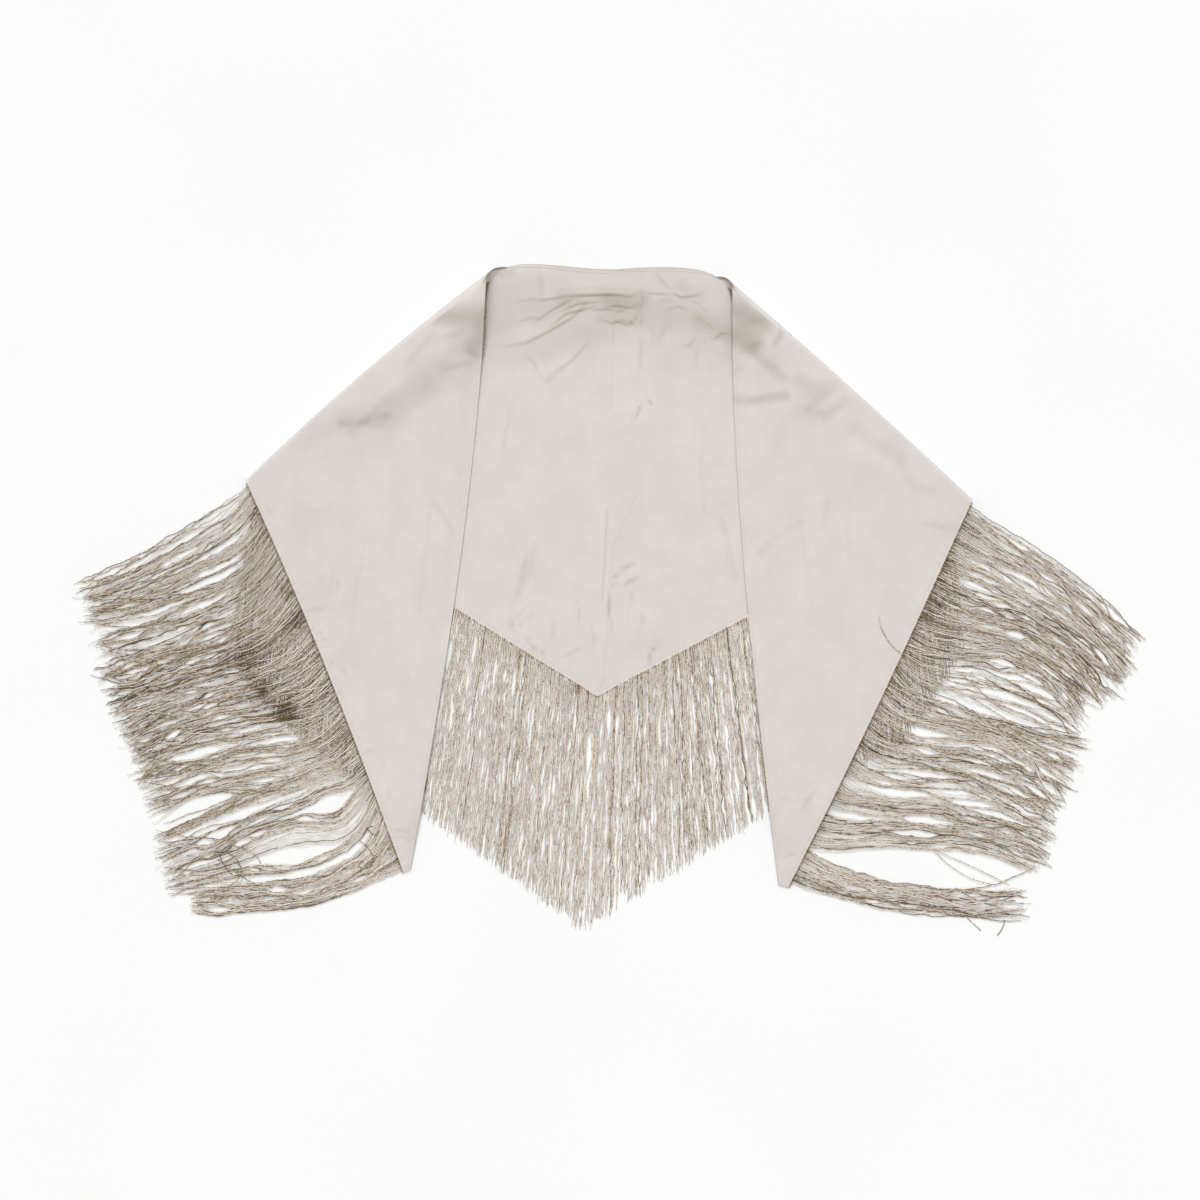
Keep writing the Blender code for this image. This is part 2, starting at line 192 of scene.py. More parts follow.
# The two stretches of the back fringe, down the hem from the back point: the one that shows, and
# the one under the fronts, which needs fewer strands and rings and is darker in tone, painted shade
# for lying under the fronts
Stretch = namedtuple("Stretch", "start end per_mm rings tone")
SHOWN = Stretch(0.0, 190.0, 1.12, 45, 0.95)
HIDDEN = Stretch(190.0, 440.0, 0.8, 25, 0.8)

# Two wide soft panels, each a sun: its strength, the angle that it fills and how it is turned from
# straight above, and the colours of the panels and of the room
Panel = namedtuple("Panel", "name energy angle turn")
PANELS = (Panel("key", 1.75, 26, (-50, -8)), Panel("overhead", 0.69, 34, (0, 0)))
PANEL_COLOUR = (0.905, 0.965, 1.0)
ROOM_COLOUR = (1.0, 0.95, 0.88, 1)
ROOM_STRENGTH = 0.5

# The middle of the part's footprint, and the middle of the view, in the plan measures
FOOTPRINT_CENTRE = np.array((-2.4, 3.9, 0.0))
VIEW_CENTRE = (-11.0, -4.4)
VIEW_WIDTH = 1320.0
CAMERA_HEIGHT = 2500.0
SENSOR = 36.0

# The back's point, the middle of the neck edge, and how far the centre seam bows
BACK_POINT = np.array((-14.0, -110.0))
NECK_CENTRE = np.array((5.0, 359.0))
SEAM_BOW = 3.0

# Each half: its side, where its corners lie, the roll's radius at the neck, how far its shoulder and
# hem bow, and the pull points that bend its neck edge and its front edge
Half = namedtuple(
    "Half",
    "side neck_corner neck_roll neck_pull shoulder_end shoulder_bow front_end hem_end front_pull hem_bow",
)
HALVES = {
    "left": Half(
        side=-1,
        neck_corner=np.array((-129.0, 358.0)),
        neck_roll=8.5,
        neck_pull=np.array(((-35.0, 358.5), (-88.0, 370.5))),
        shoulder_end=np.array((-399.0, 128.0)),
        shoulder_bow=6.0,
        front_end=np.array((-219.0, -300.0)),
        hem_end=np.array((-227.0, -304.0)),
        front_pull=np.array(((-146.0, 127.0), (-181.0, -86.0))),
        hem_bow=-5.0,
    ),
    "right": Half(
        side=1,
        neck_corner=np.array((129.0, 348.0)),
        neck_roll=6.5,
        neck_pull=np.array(((42.0, 362.0), (98.0, 365.0))),
        shoulder_end=np.array((397.0, 107.0)),
        shoulder_bow=2.0,
        front_end=np.array((185.0, -317.0)),
        hem_end=np.array((196.0, -320.0)),
        front_pull=np.array(((133.0, 118.0), (158.0, -99.0))),
        hem_bow=3.0,
    ),
}


def table(kind, *rows):
    """The rows of a table, each under the names of its columns."""
    return tuple(kind(*row) for row in rows)


# The broad soft folds of each layer: points along it, half width and height
Crease = namedtuple("Crease", "points width height")
FOLDS = {
    "back": table(
        Crease,
        (((-98, 324), (66, 333)), 26, 2.2), (((-120, 268), (-50, 285)), 26, 2.2),
        (((-56, 283), (-6, 316)), 28, 2.4), (((34, 222), (16, 136)), 26, 1.4),
        (((90, 196), (72, 60)), 32, 1.3), (((-66, 152), (-78, 20)), 32, 1.5),
        (((36, -20), (10, -66)), 26, 1.2),
    ),
    "left": table(
        Crease,
        (((-150, 262), (-210, 246)), 36, 2.6), (((-218, 234), (-296, 184)), 44, 2.6),
        (((-188, 62), (-214, -96)), 40, 1.6), (((-300, 96), (-262, -60)), 48, 1.8),
    ),
    "right": table(
        Crease,
        (((146, 268), (196, 284)), 36, 2.4), (((206, 252), (236, 196)), 40, 2.2),
        (((150, 190), (206, 202)), 36, 1.0), (((240, 172), (306, 112)), 44, 1.4),
        (((240, 28), (224, -130)), 40, 1.8),
    ),
}

# The sharper creases of each layer, in the same form
CREASES = {
    "back": table(
        Crease,
        (((-55, 329), (-33, 330), (-4, 331), (8, 331), (22, 329), (33, 333)), 5, 1.3),
        (((37, 333), (53, 332), (68, 331)), 4, 0.6), (((68, 333), (79, 328), (101, 332)), 4, 1.0),
        (((-81, 323), (-68, 326), (-48, 329)), 5, 0.7), (((50, 358), (57, 346), (67, 337)), 6, 0.6),
        (((111, 354), (119, 350), (125, 351)), 4, 0.8),
        (((-116, 274), (-92, 278), (-68, 290), (-41, 306), (-26, 321)), 7, 1.6),
        (((-82, 302), (-59, 317), (-40, 327)), 5, 0.9), (((-70, 239), (-41, 259), (-23, 280)), 8, 0.9),
        (((-55, 312), (-35, 321), (-11, 323)), 4, 0.8),
        (((-66, 296), (-48, 310), (-30, 314), (-14, 319)), 4, 1.0),
        (((-12, 304), (2, 300), (14, 303), (26, 300)), 4, 0.9),
        (((-8, 318), (8, 319), (22, 317), (32, 320)), 3, 0.8),
        (((33, 341), (36, 327), (33, 312)), 4, 0.35), (((46, 321), (60, 325), (74, 323)), 6, 0.35),
        (((84, 326), (98, 321), (110, 309)), 7, 0.45),
        (((111, 281), (117, 284), (122, 288), (132, 289)), 3, 0.9),
        (((40, 300), (48, 288), (46, 276)), 5, 0.3), (((-104, 300), (-86, 306), (-70, 304)), 5, 0.5),
        (((-96, 268), (-84, 256), (-76, 240)), 7, 0.6), (((-76, 240), (-68, 236), (-58, 242)), 6, 0.5),
        (((-108, 322), (-88, 326), (-59, 325)), 5, 0.5), (((-21, 314), (-7, 315), (7, 314)), 4, 0.9),
        (((7, 312), (18, 315)), 3, 0.6), (((7, 302), (15, 299), (23, 298), (31, 310)), 4, 1.0),
        (((33, 246), (34, 268), (36, 284)), 4, 0.5), (((52, 277), (62, 298)), 7, 0.45),
        (((78, 272), (88, 276), (95, 287)), 7, 0.7), (((59, 312), (74, 318), (90, 314)), 8, 0.7),
        (((94, 253), (96, 275)), 6, 0.5), (((97, 306), (108, 299), (114, 292)), 8, 0.5),
        (((28, 195), (35, 213)), 3, 0.9), (((41, 217), (47, 209)), 3, 0.8),
        (((-99, -9), (-101, 9), (-96, 29), (-88, 53)), 7, 0.7),
        (((-112, -40), (-103, -24), (-92, -12)), 5, 0.7),
        (((-106, -41), (-97, -29), (-81, -20)), 5, 0.5), (((-92, -46), (-87, -53), (-80, -61)), 4, 0.9),
        (((-35, -29), (-34, -18), (-36, -4)), 5, 0.6), (((2, -42), (-1, -18), (-2, 9)), 5, 0.9),
        (((-2, 14), (13, 28), (29, 38)), 4, 0.8), (((0, 10), (15, 14), (34, 21)), 4, 0.8),
        (((42, -77), (45, -63), (53, -51)), 4, 0.9), (((-76, -66), (-73, -58)), 3, 0.5),
        (((-53, -69), (-44, -62), (-33, -57)), 5, 0.6), (((-20, -65), (-18, -48), (-20, -29)), 6, 0.5),
        (((20, -26), (23, -4), (26, 9)), 7, 0.5), (((33, -40), (36, -15)), 6, 0.5),
        (((-64, -48), (-63, -24)), 6, 0.5), (((-121, 139), (-114, 183), (-108, 211)), 10, 0.5),
        (((106, 84), (99, 139), (103, 194)), 10, 0.5),
    ),
    "left": table(
        Crease,
        (((-196, 275), (-174, 284), (-145, 297)), 16, 1.6),
        (((-186, 245), (-163, 253), (-141, 257)), 10, 1.3),
        (((-292, 172), (-266, 193), (-240, 219)), 18, 1.6),
        (((-270, 188), (-257, 186), (-246, 189)), 5, 0.8),
        (((-227, 246), (-209, 268), (-187, 292)), 18, 1.2),
        (((-158, 268), (-147, 264), (-140, 264)), 6, 0.9),
        (((-308, -4), (-304, 18), (-304, 40)), 9, 0.5), (((-332, 92), (-319, 94), (-304, 98)), 6, 0.4),
        (((-209, -26), (-205, 40), (-194, 106)), 14, 0.6),
        (((-284, -48), (-279, 7), (-268, 62)), 16, 0.6),
        (((-241, -258), (-230, -257), (-217, -261)), 4, 0.9),
        (((-238, -266), (-227, -265), (-218, -268)), 4, 0.6), (((-243, -223), (-242, -209)), 4, 0.5),
        (((-273, -172), (-264, -170), (-255, -166)), 5, 0.6), (((-253, -184), (-244, -183)), 4, 0.4),
        (((-378, 97), (-370, 90)), 3, 0.6), (((-371, 78), (-364, 75)), 3, 0.5),
        (((-335, -19), (-325, -15), (-313, -13)), 3, 0.9), (((-298, 22), (-299, 4)), 3, 0.7),
        (((-323, -41), (-315, -39)), 3, 0.7), (((-319, -49), (-309, -46)), 3, 0.8),
        (((-309, -76), (-302, -73)), 3, 0.8), (((-296, -76), (-287, -90)), 4, 0.6),
        (((-302, -108), (-293, -104)), 3, 0.7), (((-287, -142), (-279, -139)), 3, 0.6),
    ),
    "right": table(
        Crease,
        (((139, 293), (156, 301), (178, 306)), 14, 1.6), (((141, 268), (156, 273), (169, 279)), 8, 1.2),
        (((150, 213), (163, 216), (183, 222)), 10, 1.2),
        (((206, 194), (227, 213), (255, 233)), 18, 0.9), (((176, 268), (187, 288), (191, 297)), 8, 0.9),
        (((135, 246), (145, 249)), 3, 0.7), (((222, -26), (216, 29), (209, 84)), 16, 0.6),
        (((264, 40), (260, 73), (264, 106)), 14, 0.5),
        (((209, -238), (216, -226), (226, -213)), 5, 0.9),
        (((188, -288), (198, -284), (209, -283)), 4, 0.7),
        (((183, -224), (191, -222), (200, -224)), 4, 0.5),
    ),
}

# Soft hollows, where the cloth sinks and painted shade darkens it: points along each, half width and how
# dark
Hollow = namedtuple("Hollow", "points width dark")
HOLLOWS = {
    "back": table(
        Hollow,
        (((-118, 300), (-55, 309), (33, 314), (128, 292)), 66, 0.42),
        (((-50, 324), (-11, 326), (34, 325)), 17, 0.55), (((-11, 304), (33, 301)), 11, 0.25),
        (((99, 304), (130, 286)), 15, 0.4), (((-2, 322), (34, 308)), 15, 0.3),
        (((-120, 355), (-108, 356)), 8, 0.5), (((-77, 352), (-75, 330)), 6, 0.2),
        (((77, 342), (99, 330)), 11, 0.28), (((-110, 338), (-60, 342)), 24, 0.16),
        (((60, 300), (92, 304)), 18, 0.2), (((123, 84), (138, 18)), 6, 0.2),
        (((5, 312), (4, 276)), 1.7, 0.3), (((3, 252), (2, 206)), 1.9, 0.24),
        (((-3, 94), (-5, 50), (-8, -6)), 2.2, 0.45),
        (((-83, 56), (-88, 29), (-105, -4), (-110, -32)), 6, 0.2),
    ),
    "left": table(
        Hollow,
        (((-139, 306), (-165, 305), (-187, 307)), 18, 0.95), (((-141, 288), (-148, 270)), 17, 0.8),
        (((-160, 276), (-185, 249)), 20, 0.34), (((-286, 188), (-248, 197), (-204, 229)), 24, 0.4),
        (((-294, 188), (-270, 189), (-243, 196)), 7, 0.42), (((-341, 166), (-292, 188)), 16, 0.2),
        (((-193, 100), (-171, 67)), 6, 0.25), (((-330, 60), (-290, -60)), 60, 0.08),
    ),
    "right": table(
        Hollow,
        (((142, 311), (166, 297)), 22, 1.1), (((137, 286), (157, 274)), 19, 1.1),
        (((156, 265), (174, 251), (189, 238)), 9, 0.42), (((135, 216), (160, 212), (193, 218)), 8, 0.5),
        (((181, 276), (195, 295)), 7, 0.36), (((209, 232), (225, 222), (242, 229)), 15, 0.3),
        (((218, 202), (236, 196), (258, 213)), 9, 0.32),
        (((269, 183), (291, 164), (319, 152)), 13, 0.26),
        (((319, 144), (335, 118), (352, 114)), 11, 0.25), (((165, 45), (181, 62), (209, 79)), 8, 0.2),
        (((240, 106), (236, 78)), 7, 0.15), (((346, 78), (380, 73)), 6, 0.28),
    ),
}

# Where the neck edge and the front edges are seen on end: a sliver of painted shade on the back beside each
# neck corner, under the front's raised edge
SHADE_SLIVERS = table(
    Hollow,
    (((-117, 361), (-126, 357), (-133, 350), (-136, 338), (-138, 322), (-138.5, 306)), 2.7, 2.8),
    (((-138.5, 306), (-137.5, 290), (-138, 277), (-140, 262)), 2.0, 2.0),
    (((-140, 262), (-147, 206), (-150, 170)), 1.9, 0.7),
    (((112, 355), (121, 351), (129, 344), (133, 334), (136, 322)), 2.8, 2.6),
    (((136, 322), (137, 280), (138, 235)), 2.0, 1.1),
)

# The centre seam's allowance, pressed to the right: distance down the seam and its width there
Allowance = namedtuple("Allowance", "down width")
ALLOWANCE = table(
    Allowance,
    (1, 29), (34, 31), (90, 28), (147, 29), (166, 21), (190, 28), (214, 28), (246, 33), (262, 26),
    (300, 9), (360, 7), (452, 6), (467, 1),
)

# The front fringes as they lie in bundles, counted down from the shoulder: the stretch of hem each
# one grows from, the middle and width of its waist and of its tip, and whether it is carried on the
# hidden fringe where it leaves the hem
Bundle = namedtuple("Bundle", "root_from root_to waist_x waist_y waist_w tip_x tip_y tip_w carried")
FRONT_BUNDLES = {
    "left": table(
        Bundle,
        (2, 36, -486, 38, 42, -580, 0, 21, True), (36, 66, -477, 6, 21, -572, -25, 20, True),
        (66, 92, -486, -24, 18, -563, -57, 17, True), (92, 130, -490, -59, 27, -559, -86, 26, True),
        (130, 170, -492, -91, 27, -550, -115, 26, True),
        (170, 214, -486, -123, 27, -537, -144, 26, True),
        (214, 262, -478, -154, 28, -525, -174, 27, True),
        (262, 290, -447, -180, 26, -514, -206, 25, True),
        (290, 312, -430, -205, 18, -506, -236, 19, True),
        (312, 330, -398, -212, 16, -497, -262, 13, True),
        (330, 364, -383, -246, 27, -490, -296, 27, True),
        (364, 382, -348, -264, 17, -484, -318, 15, False),
        (382, 400, -308, -287, 13, -424, -327, 9, False),
        (400, 457, -322, -312, 31, -456, -337, 14, False),
    ),
    "right": table(
        Bundle,
        (3, 39, 481, 24, 30, 573, -57, 26, True), (39, 80, 469, 2, 29, 570, -86, 25, True),
        (80, 129, 453, -26, 29, 552, -108, 25, True), (129, 177, 436, -54, 29, 522, -121, 24, True),
        (177, 194, 432, -98, 44, 520, -142, 34, True), (194, 258, 413, -142, 34, 515, -184, 42, True),
        (260, 298, 391, -178, 29, 497, -228, 30, True), (304, 329, 376, -205, 21, 482, -253, 15, True),
        (336, 367, 369, -229, 25, 484, -273, 15, True), (376, 401, 363, -252, 20, 480, -289, 12, False),
        (404, 419, 360, -270, 13, 469, -301, 9, False), (419, 462, 336, -325, 28, 455, -337, 25, False),
    ),
}

# How far the strands fall straight down from the hem before they turn outward, down along the hem
Droop = namedtuple("Droop", "root fall")
DROOPS = {
    "left": table(
        Droop,
        (0, 3), (36, 8), (92, 14), (200, 16), (300, 20), (347, 14), (374, 32), (391, 24), (428, 13),
        (457, 3),
    ),
    "right": table(
        Droop,
        (0, 2), (60, 4), (110, 10), (180, 16), (300, 15), (462, 6),
    ),
}

# The larger gaps where the white table shows between strands: middle, half length and half width
Opening = namedtuple("Opening", "x y long wide")
OPENINGS = {
    "left": table(
        Opening,
        (-440, 14, 46, 6.0), (-500, -16, 48, 4.4), (-445, -10, 38, 4.6), (-470, -24, 30, 2.4),
        (-438, -44, 22, 4.2), (-540, -74, 9, 3.0), (-524, -84, 9, 2.8), (-461, -109, 15, 3.0),
        (-400, -117, 22, 1.8), (-440, -127, 26, 2.0), (-444, -173, 34, 4.4), (-363, -160, 32, 3.4),
        (-470, -176, 26, 2.2), (-410, -190, 22, 3.0), (-372, -180, 18, 2.6), (-446, -228, 40, 8.6),
        (-404, -238, 24, 3.6), (-380, -204, 20, 3.4), (-430, -263, 19, 6.4), (-446, -270, 12, 4.0),
        (-309, -229, 22, 9.5), (-350, -286, 46, 12.0), (-330, -300, 26, 2.2), (-500, -320, 12, 1.6),
    ),
    "right": table(
        Opening,
        (434, -74, 16, 5.0), (430, -109, 36, 3.6), (486, -134, 24, 3.4), (352, -153, 32, 5.0),
        (412, -197, 42, 5.6), (385, -219, 36, 5.6), (446, -216, 30, 4.0), (420, -240, 34, 4.6),
        (320, -186, 30, 2.6), (280, -185, 11, 2.4), (346, -246, 30, 7.0), (330, -216, 34, 5.4),
        (344, -198, 34, 4.6), (396, -228, 34, 4.8), (326, -233, 26, 3.0), (300, -205, 24, 2.8),
        (424, -180, 26, 2.8), (312, -292, 44, 8.0), (400, -301, 60, 10.0), (405, -333, 20, 2.2),
        (456, 14, 22, 1.7), (486, -6, 26, 1.6), (404, 10, 18, 1.4), (500, -64, 16, 2.4),
        (462, -36, 20, 1.8), (428, -26, 22, 1.6), (524, -30, 22, 1.4),
    ),
}

# Painted shade where the fringe lies thickest: middle, radius and how dark
Depth = namedtuple("Depth", "x y radius dark")
FRINGE_SHADE_SPOTS = table(
    Depth,
    (-357, -127, 13, 0.95), (-383, -103, 13, 0.55), (-402, -72, 15, 0.5), (-428, -66, 13, 0.35),
    (-356, 6, 9, 0.45), (-344, -26, 11, 0.45), (-383, 84, 15, 0.34), (-296, -158, 13, 0.4),
    (-288, -196, 10, 0.4), (-300, -240, 11, 0.3), (-418, -284, 16, 0.34), (-520, -320, 14, 0.2),
    (396, 73, 10, 0.34), (368, 40, 12, 0.3), (357, -10, 12, 0.45), (349, -27, 9, 0.34),
    (512, -94, 15, 0.28), (451, -48, 9, 0.16), (319, -153, 13, 0.28), (-36, -101, 6, 0.4),
    (-96, -69, 5, 0.35),
)

# How the back fringe fans: distance from the back point along the hem, and where that strand ends
Fan = namedtuple("Fan", "root tip_x tip_y")
BACK_FANS = {
    "left": table(
        Fan,
        (0, -31, -366), (186, -207, -238), (276, -284, -197), (366, -350, -153), (440, -420, -65),
    ),
    "right": table(
        Fan,
        (0, -30, -366), (180, 177, -238), (268, 251, -202), (355, 324, -161), (434, 386, -65),
    ),
}

# Notches in the lower edge of the back fringe: where they are across, half width and height
Notch = namedtuple("Notch", "x width height")
NOTCHES = table(
    Notch,
    (-50, 7, 9), (13, 5, 26), (44, 5, 22), (-96, 4, 8), (96, 5, 8),
)

# Single loose threads that lie across the rest: the points they pass through, at the given height
Stray = namedtuple("Stray", "points height")
STRAYS = {
    "left": table(
        Stray,
        (((-431, -290), (-420, -298), (-408, -306), (-396, -314), (-384, -319), (-370, -321)), 1.0),
        (((-262, -282), (-256, -290), (-248, -296), (-247, -303), (-253, -306), (-261, -303)), 2.0),
        (((-410, -215), (-422, -226), (-434, -238), (-448, -246), (-462, -252), (-470, -262)), 1.2),
        (((-430, -284), (-424, -298), (-414, -309), (-403, -306), (-405, -296), (-416, -291)), 1.2),
        (((-441, -294), (-434, -309), (-421, -319), (-408, -318), (-403, -308)), 1.3),
        (((-424, -280), (-411, -288), (-404, -301), (-410, -314), (-424, -321)), 1.4),
        (((-415, -274), (-396, -280), (-383, -292), (-386, -306), (-398, -309)), 1.2),
        (((-268, -254), (-260, -264), (-252, -260), (-256, -252), (-266, -254), (-272, -264)), 2.4),
        (((-252, -268), (-244, -276), (-238, -270), (-244, -262), (-254, -266), (-258, -278)), 2.2),
        (((-276, -268), (-266, -276), (-258, -290), (-264, -300), (-276, -298)), 2.0),
        (((-396, -214), (-410, -222), (-420, -236), (-432, -240), (-446, -238)), 1.2),
        (((-372, -206), (-384, -216), (-402, -220), (-418, -232), (-436, -246)), 1.4),
    ),
    "right": table(
        Stray,
        (((539, 1), (546, -12), (552, -26), (561, -38), (566, -52), (566, -66)), 0.9),
        (((391, -351), (396, -357), (402, -362), (408, -368)), 0.8),
        (((426, -373), (430, -368), (433, -362), (434, -356)), 0.8),
        (((295, -23), (297, -34), (301, -42), (308, -53), (314, -59), (320, -63)), 6.2),
        (((386, -86), (404, -100), (420, -118), (444, -132), (470, -140), (492, -142)), 1.6),
        (((396, -92), (428, -98), (452, -112), (486, -124), (508, -140)), 1.8),
        (((398, -96), (416, -112), (436, -124), (462, -132), (484, -146)), 1.5),
        (((412, -90), (436, -104), (470, -116), (496, -136)), 1.7),
        (((434, -92), (452, -104), (476, -112), (502, -128)), 1.5),
        (((392, -108), (414, -122), (440, -138), (470, -146)), 1.3),
        (((330, -262), (352, -276), (372, -296), (398, -312), (424, -318)), 1.2),
        (((318, -276), (342, -272), (368, -284), (404, -300), (440, -318)), 1.2),
    ),
}


def smooth(t):
    """Eases from 0 to 1 as t does, and holds outside that range."""
    t = np.clip(t, 0.0, 1.0)
    return t * t * (3 - 2 * t)


def lerp(a, b, t):
    return a + (b - a) * t


def by_point(t):
    """One share for each point, ready to multiply its coordinates."""
    return np.asarray(t, float)[..., None]


def raised(plan, height):
    """Plan points with their heights."""
    return np.concatenate((plan, by_point(height)), axis=-1)


def length_of(vectors):
    return np.linalg.norm(vectors, axis=-1)


def unit(vectors):
    return vectors / np.maximum(length_of(vectors), 1e-9)[..., None]


def left_of(direction):
    """The unit vector a quarter turn to the left of a plan direction."""
    return unit(np.stack((-direction[..., 1], direction[..., 0]), axis=-1))


def gone_along(paths):
    """The distance along each path at each of its points."""
    return np.cumsum(length_of(np.diff(paths, axis=-2, prepend=paths[..., :1, :])), axis=-1)


def evened(values, reach, **padding):
    """A row of numbers, each drawn towards its neighbours within reach."""
    kernel = np.hanning(2 * reach + 1) / np.hanning(2 * reach + 1).sum()
    return np.convolve(np.pad(values, reach, **padding), kernel, mode="valid")


def read_off(rows, key, column, at):
    """A table's column, read off between its rows at given values of its key column."""
    return np.interp(at, [getattr(row, key) for row in rows], [getattr(row, column) for row in rows])


def bowed(a, b, rise, t):
    """Points on the shallow arc from a to b that stands rise to the left of its chord."""
    t = by_point(t)
    return lerp(a, b, t) + left_of(b - a) * (4 * rise * t * (1 - t))


def pulled(a, pulls, b, t):
    """Points on the cubic curve from a to b whose two pull points shape it."""
    t = by_point(t)
    s = 1 - t
    return a * s**3 + pulls[0] * (3 * s * s * t) + pulls[1] * (3 * s * t * t) + b * t**3


def roll_radius(half, v):
    """The roll at the shoulder is fullest at the neck edge and flattest at the hem."""
    return lerp(half.neck_roll, SHOULDER_ROLL, smooth(np.asarray(v) / ROLL_SETTLES))


def outward_at_shoulder(half):
    return left_of(half.shoulder_end - half.neck_corner) * half.side


def roll_centre(half, v, turn):
    """The plan line inside the roll, one roll radius in from the outline.

    The neck edge and the hem cross the shoulder at a slant, so a row of the cloth slides along the
    shoulder as it wraps: turn runs from 0 where it leaves the back to 1 where it joins the front.
    """
    radius = roll_radius(half, v)
    slant = lerp(NECK_SLANT, HEM_SLANT, smooth(np.asarray(v) / ROLL_SETTLES))
    slide = math.pi * radius * slant * (turn - 0.5)
    shoulder = bowed(half.neck_corner, half.shoulder_end, half.side * half.shoulder_bow, v)
    along = unit(half.shoulder_end - half.neck_corner)
    return shoulder - outward_at_shoulder(half) * by_point(radius) + along * by_point(slide)


def back_fold(half, v):
    return roll_centre(half, v, 0.0)


def front_fold(half, v):
    return roll_centre(half, v, 1.0)


def seam(half, v):
    """This half's edge of the centre back seam."""
    return bowed(NECK_CENTRE, BACK_POINT, SEAM_BOW, v) + np.array((half.side * SEAM_GAP / 2, 0))


def neck_edge(half, s):
    return pulled(seam(half, 0), half.neck_pull, back_fold(half, 0), s)


def back_hem(half, s):
    return lerp(seam(half, 1), back_fold(half, 1), by_point(s))


def front_edge(half, s):
    return pulled(front_fold(half, 0), half.front_pull, half.front_end, s)


def front_hem(half, s):
    return bowed(front_fold(half, 1), half.hem_end, half.side * half.hem_bow, s)


def tip_edge(half, v):
    return lerp(half.front_end, half.hem_end, by_point(v))


# Each layer of a half lies between four plan curves: its upper edge, its hem, its start and its end
Layer = namedtuple("Layer", "top bottom start end")
BACK = Layer(neck_edge, back_hem, seam, back_fold)
FRONT = Layer(front_edge, front_hem, front_fold, tip_edge)


def patch(layer, half, s, v):
    """Points of the smooth patch between the layer's four curves, by Coons's rule."""
    top, bottom = layer.top(half, s), layer.bottom(half, s)
    ruled = lerp(top, bottom, by_point(v)) + lerp(layer.start(half, v), layer.end(half, v), by_point(s))
    upper = lerp(layer.top(half, 0), layer.top(half, 1), by_point(s))
    lower = lerp(layer.bottom(half, 0), layer.bottom(half, 1), by_point(s))
    return ruled - lerp(upper, lower, by_point(v))


def depth_at(layer, half, s):
    """How deep the cloth is from its upper edge to its hem."""
    return length_of(layer.bottom(half, s) - layer.top(half, s))


def nearest_on(crease, plan):
    """Distance to a crease's line, and how far along the line the nearest place is."""
    points = np.array(crease.points, float)
    steps = points[1:] - points[:-1]
    lengths = length_of(steps)
    gone = 0.0
    distance = np.full(plan.shape[:-1], np.inf)
    share = np.zeros(plan.shape[:-1])
    for start, step, length in zip(points, steps, lengths):
        t = np.clip((plan - start) @ step / length**2, 0, 1)
        to_line = length_of(plan - start - by_point(t) * step)
        closer = to_line < distance
        distance = np.where(closer, to_line, distance)
        share = np.where(closer, (gone + t * length) / lengths.sum(), share)
        gone += length
    return distance, share


def soft_fold(fold, plan):
    """A broad fold, rounded across and fading at both ends, as in the solids."""
    start, end = np.array(fold.points, float)
    t = (plan - start) @ (end - start) / ((end - start) @ (end - start))
    nearest = start + by_point(np.clip(t, 0, 1)) * (end - start)
    across = np.minimum(length_of(plan - nearest) / fold.width, 1.0)
    fade = np.sin(math.pi * np.clip(t * 0.8 + 0.1, 0, 1))
    return fold.height * (1 - across**2) ** 2 * fade


def sharp_crease(crease, plan, style):
    """A sharp crease: its ridge, which stands above a narrow gutter, and the painted shade that darkens the
    gutter.
    """
    shift = np.array((0.0, 0.4 * crease.width))
    distance, share = nearest_on(crease, plan - shift)
    fade = np.sin(math.pi * (0.06 + 0.88 * share)) ** 0.7
    across = np.clip(1 - distance / crease.width, 0, 1)
    ridge = CREASE_LIFT * crease.height * across**1.5 * fade
    distance, share = nearest_on(crease, plan)
    fade = np.sin(math.pi * (0.03 + 0.94 * share)) ** 0.8
    narrow = style.narrow + style.widens * crease.width
    gutter = np.exp(-((distance / narrow) ** 2)) * fade * np.clip(crease.height / 1.3, 0.2, 1)
    return ridge - GUTTER_DEPTH * gutter, style.dark * gutter * (6.0 / (crease.width + 1.0)) ** 0.6


def soft_hollow(hollow, plan):
    """A hollow's share at each place: 1 along its line, easing to 0 at its half width."""
    distance, _ = nearest_on(hollow, plan)
    return (1 - np.minimum(distance / hollow.width, 1) ** 2) ** 2


def swell(plan, seed):
    """The slow unevenness of cloth that has been folded away, from 0 to 1."""
    x, y = plan[..., 0], plan[..., 1]
    waves = 0.5 * np.sin(x / 19 + 1.3 * np.sin(y / 37 + seed)) + 0.5 * np.sin(y / 23 + seed + x / 61)
    return 0.5 + 0.25 * (waves + np.sin(x / 47 - y / 31 + 2 * seed) * np.cos(y / 71 + seed))


def edge_work(from_neck, from_hem, along, seed):
    """The turned hem at the neck edge, the rim over the fringe, and the sewing's small puckers."""
    turned = 0.15 * (1 - smooth((from_neck - NECK_HEM + 1.2) / 2.4))
    rim = 0.14 * (1 - smooth((from_hem - RIM) / 1.2))
    lines = 0.06 * np.exp(-(((from_neck - NECK_HEM - 0.5) / 0.9) ** 2))
    lines = lines + 0.1 * np.exp(-(((from_hem - FRINGED_HEM) / 0.7) ** 2))
    beat = np.sin(2 * math.pi * along / PUCKER_PITCH + 1.7 * np.sin(along / 29 + seed))
    uneven = 0.55 + 0.45 * np.sin(along / 43 + 2.1 * seed)
    pucker = PUCKER * beat * uneven * (np.exp(-from_hem / 8) + 0.6 * np.exp(-from_neck / 7))
    return turned + rim - lines + np.maximum(pucker, -0.2) + 0.2


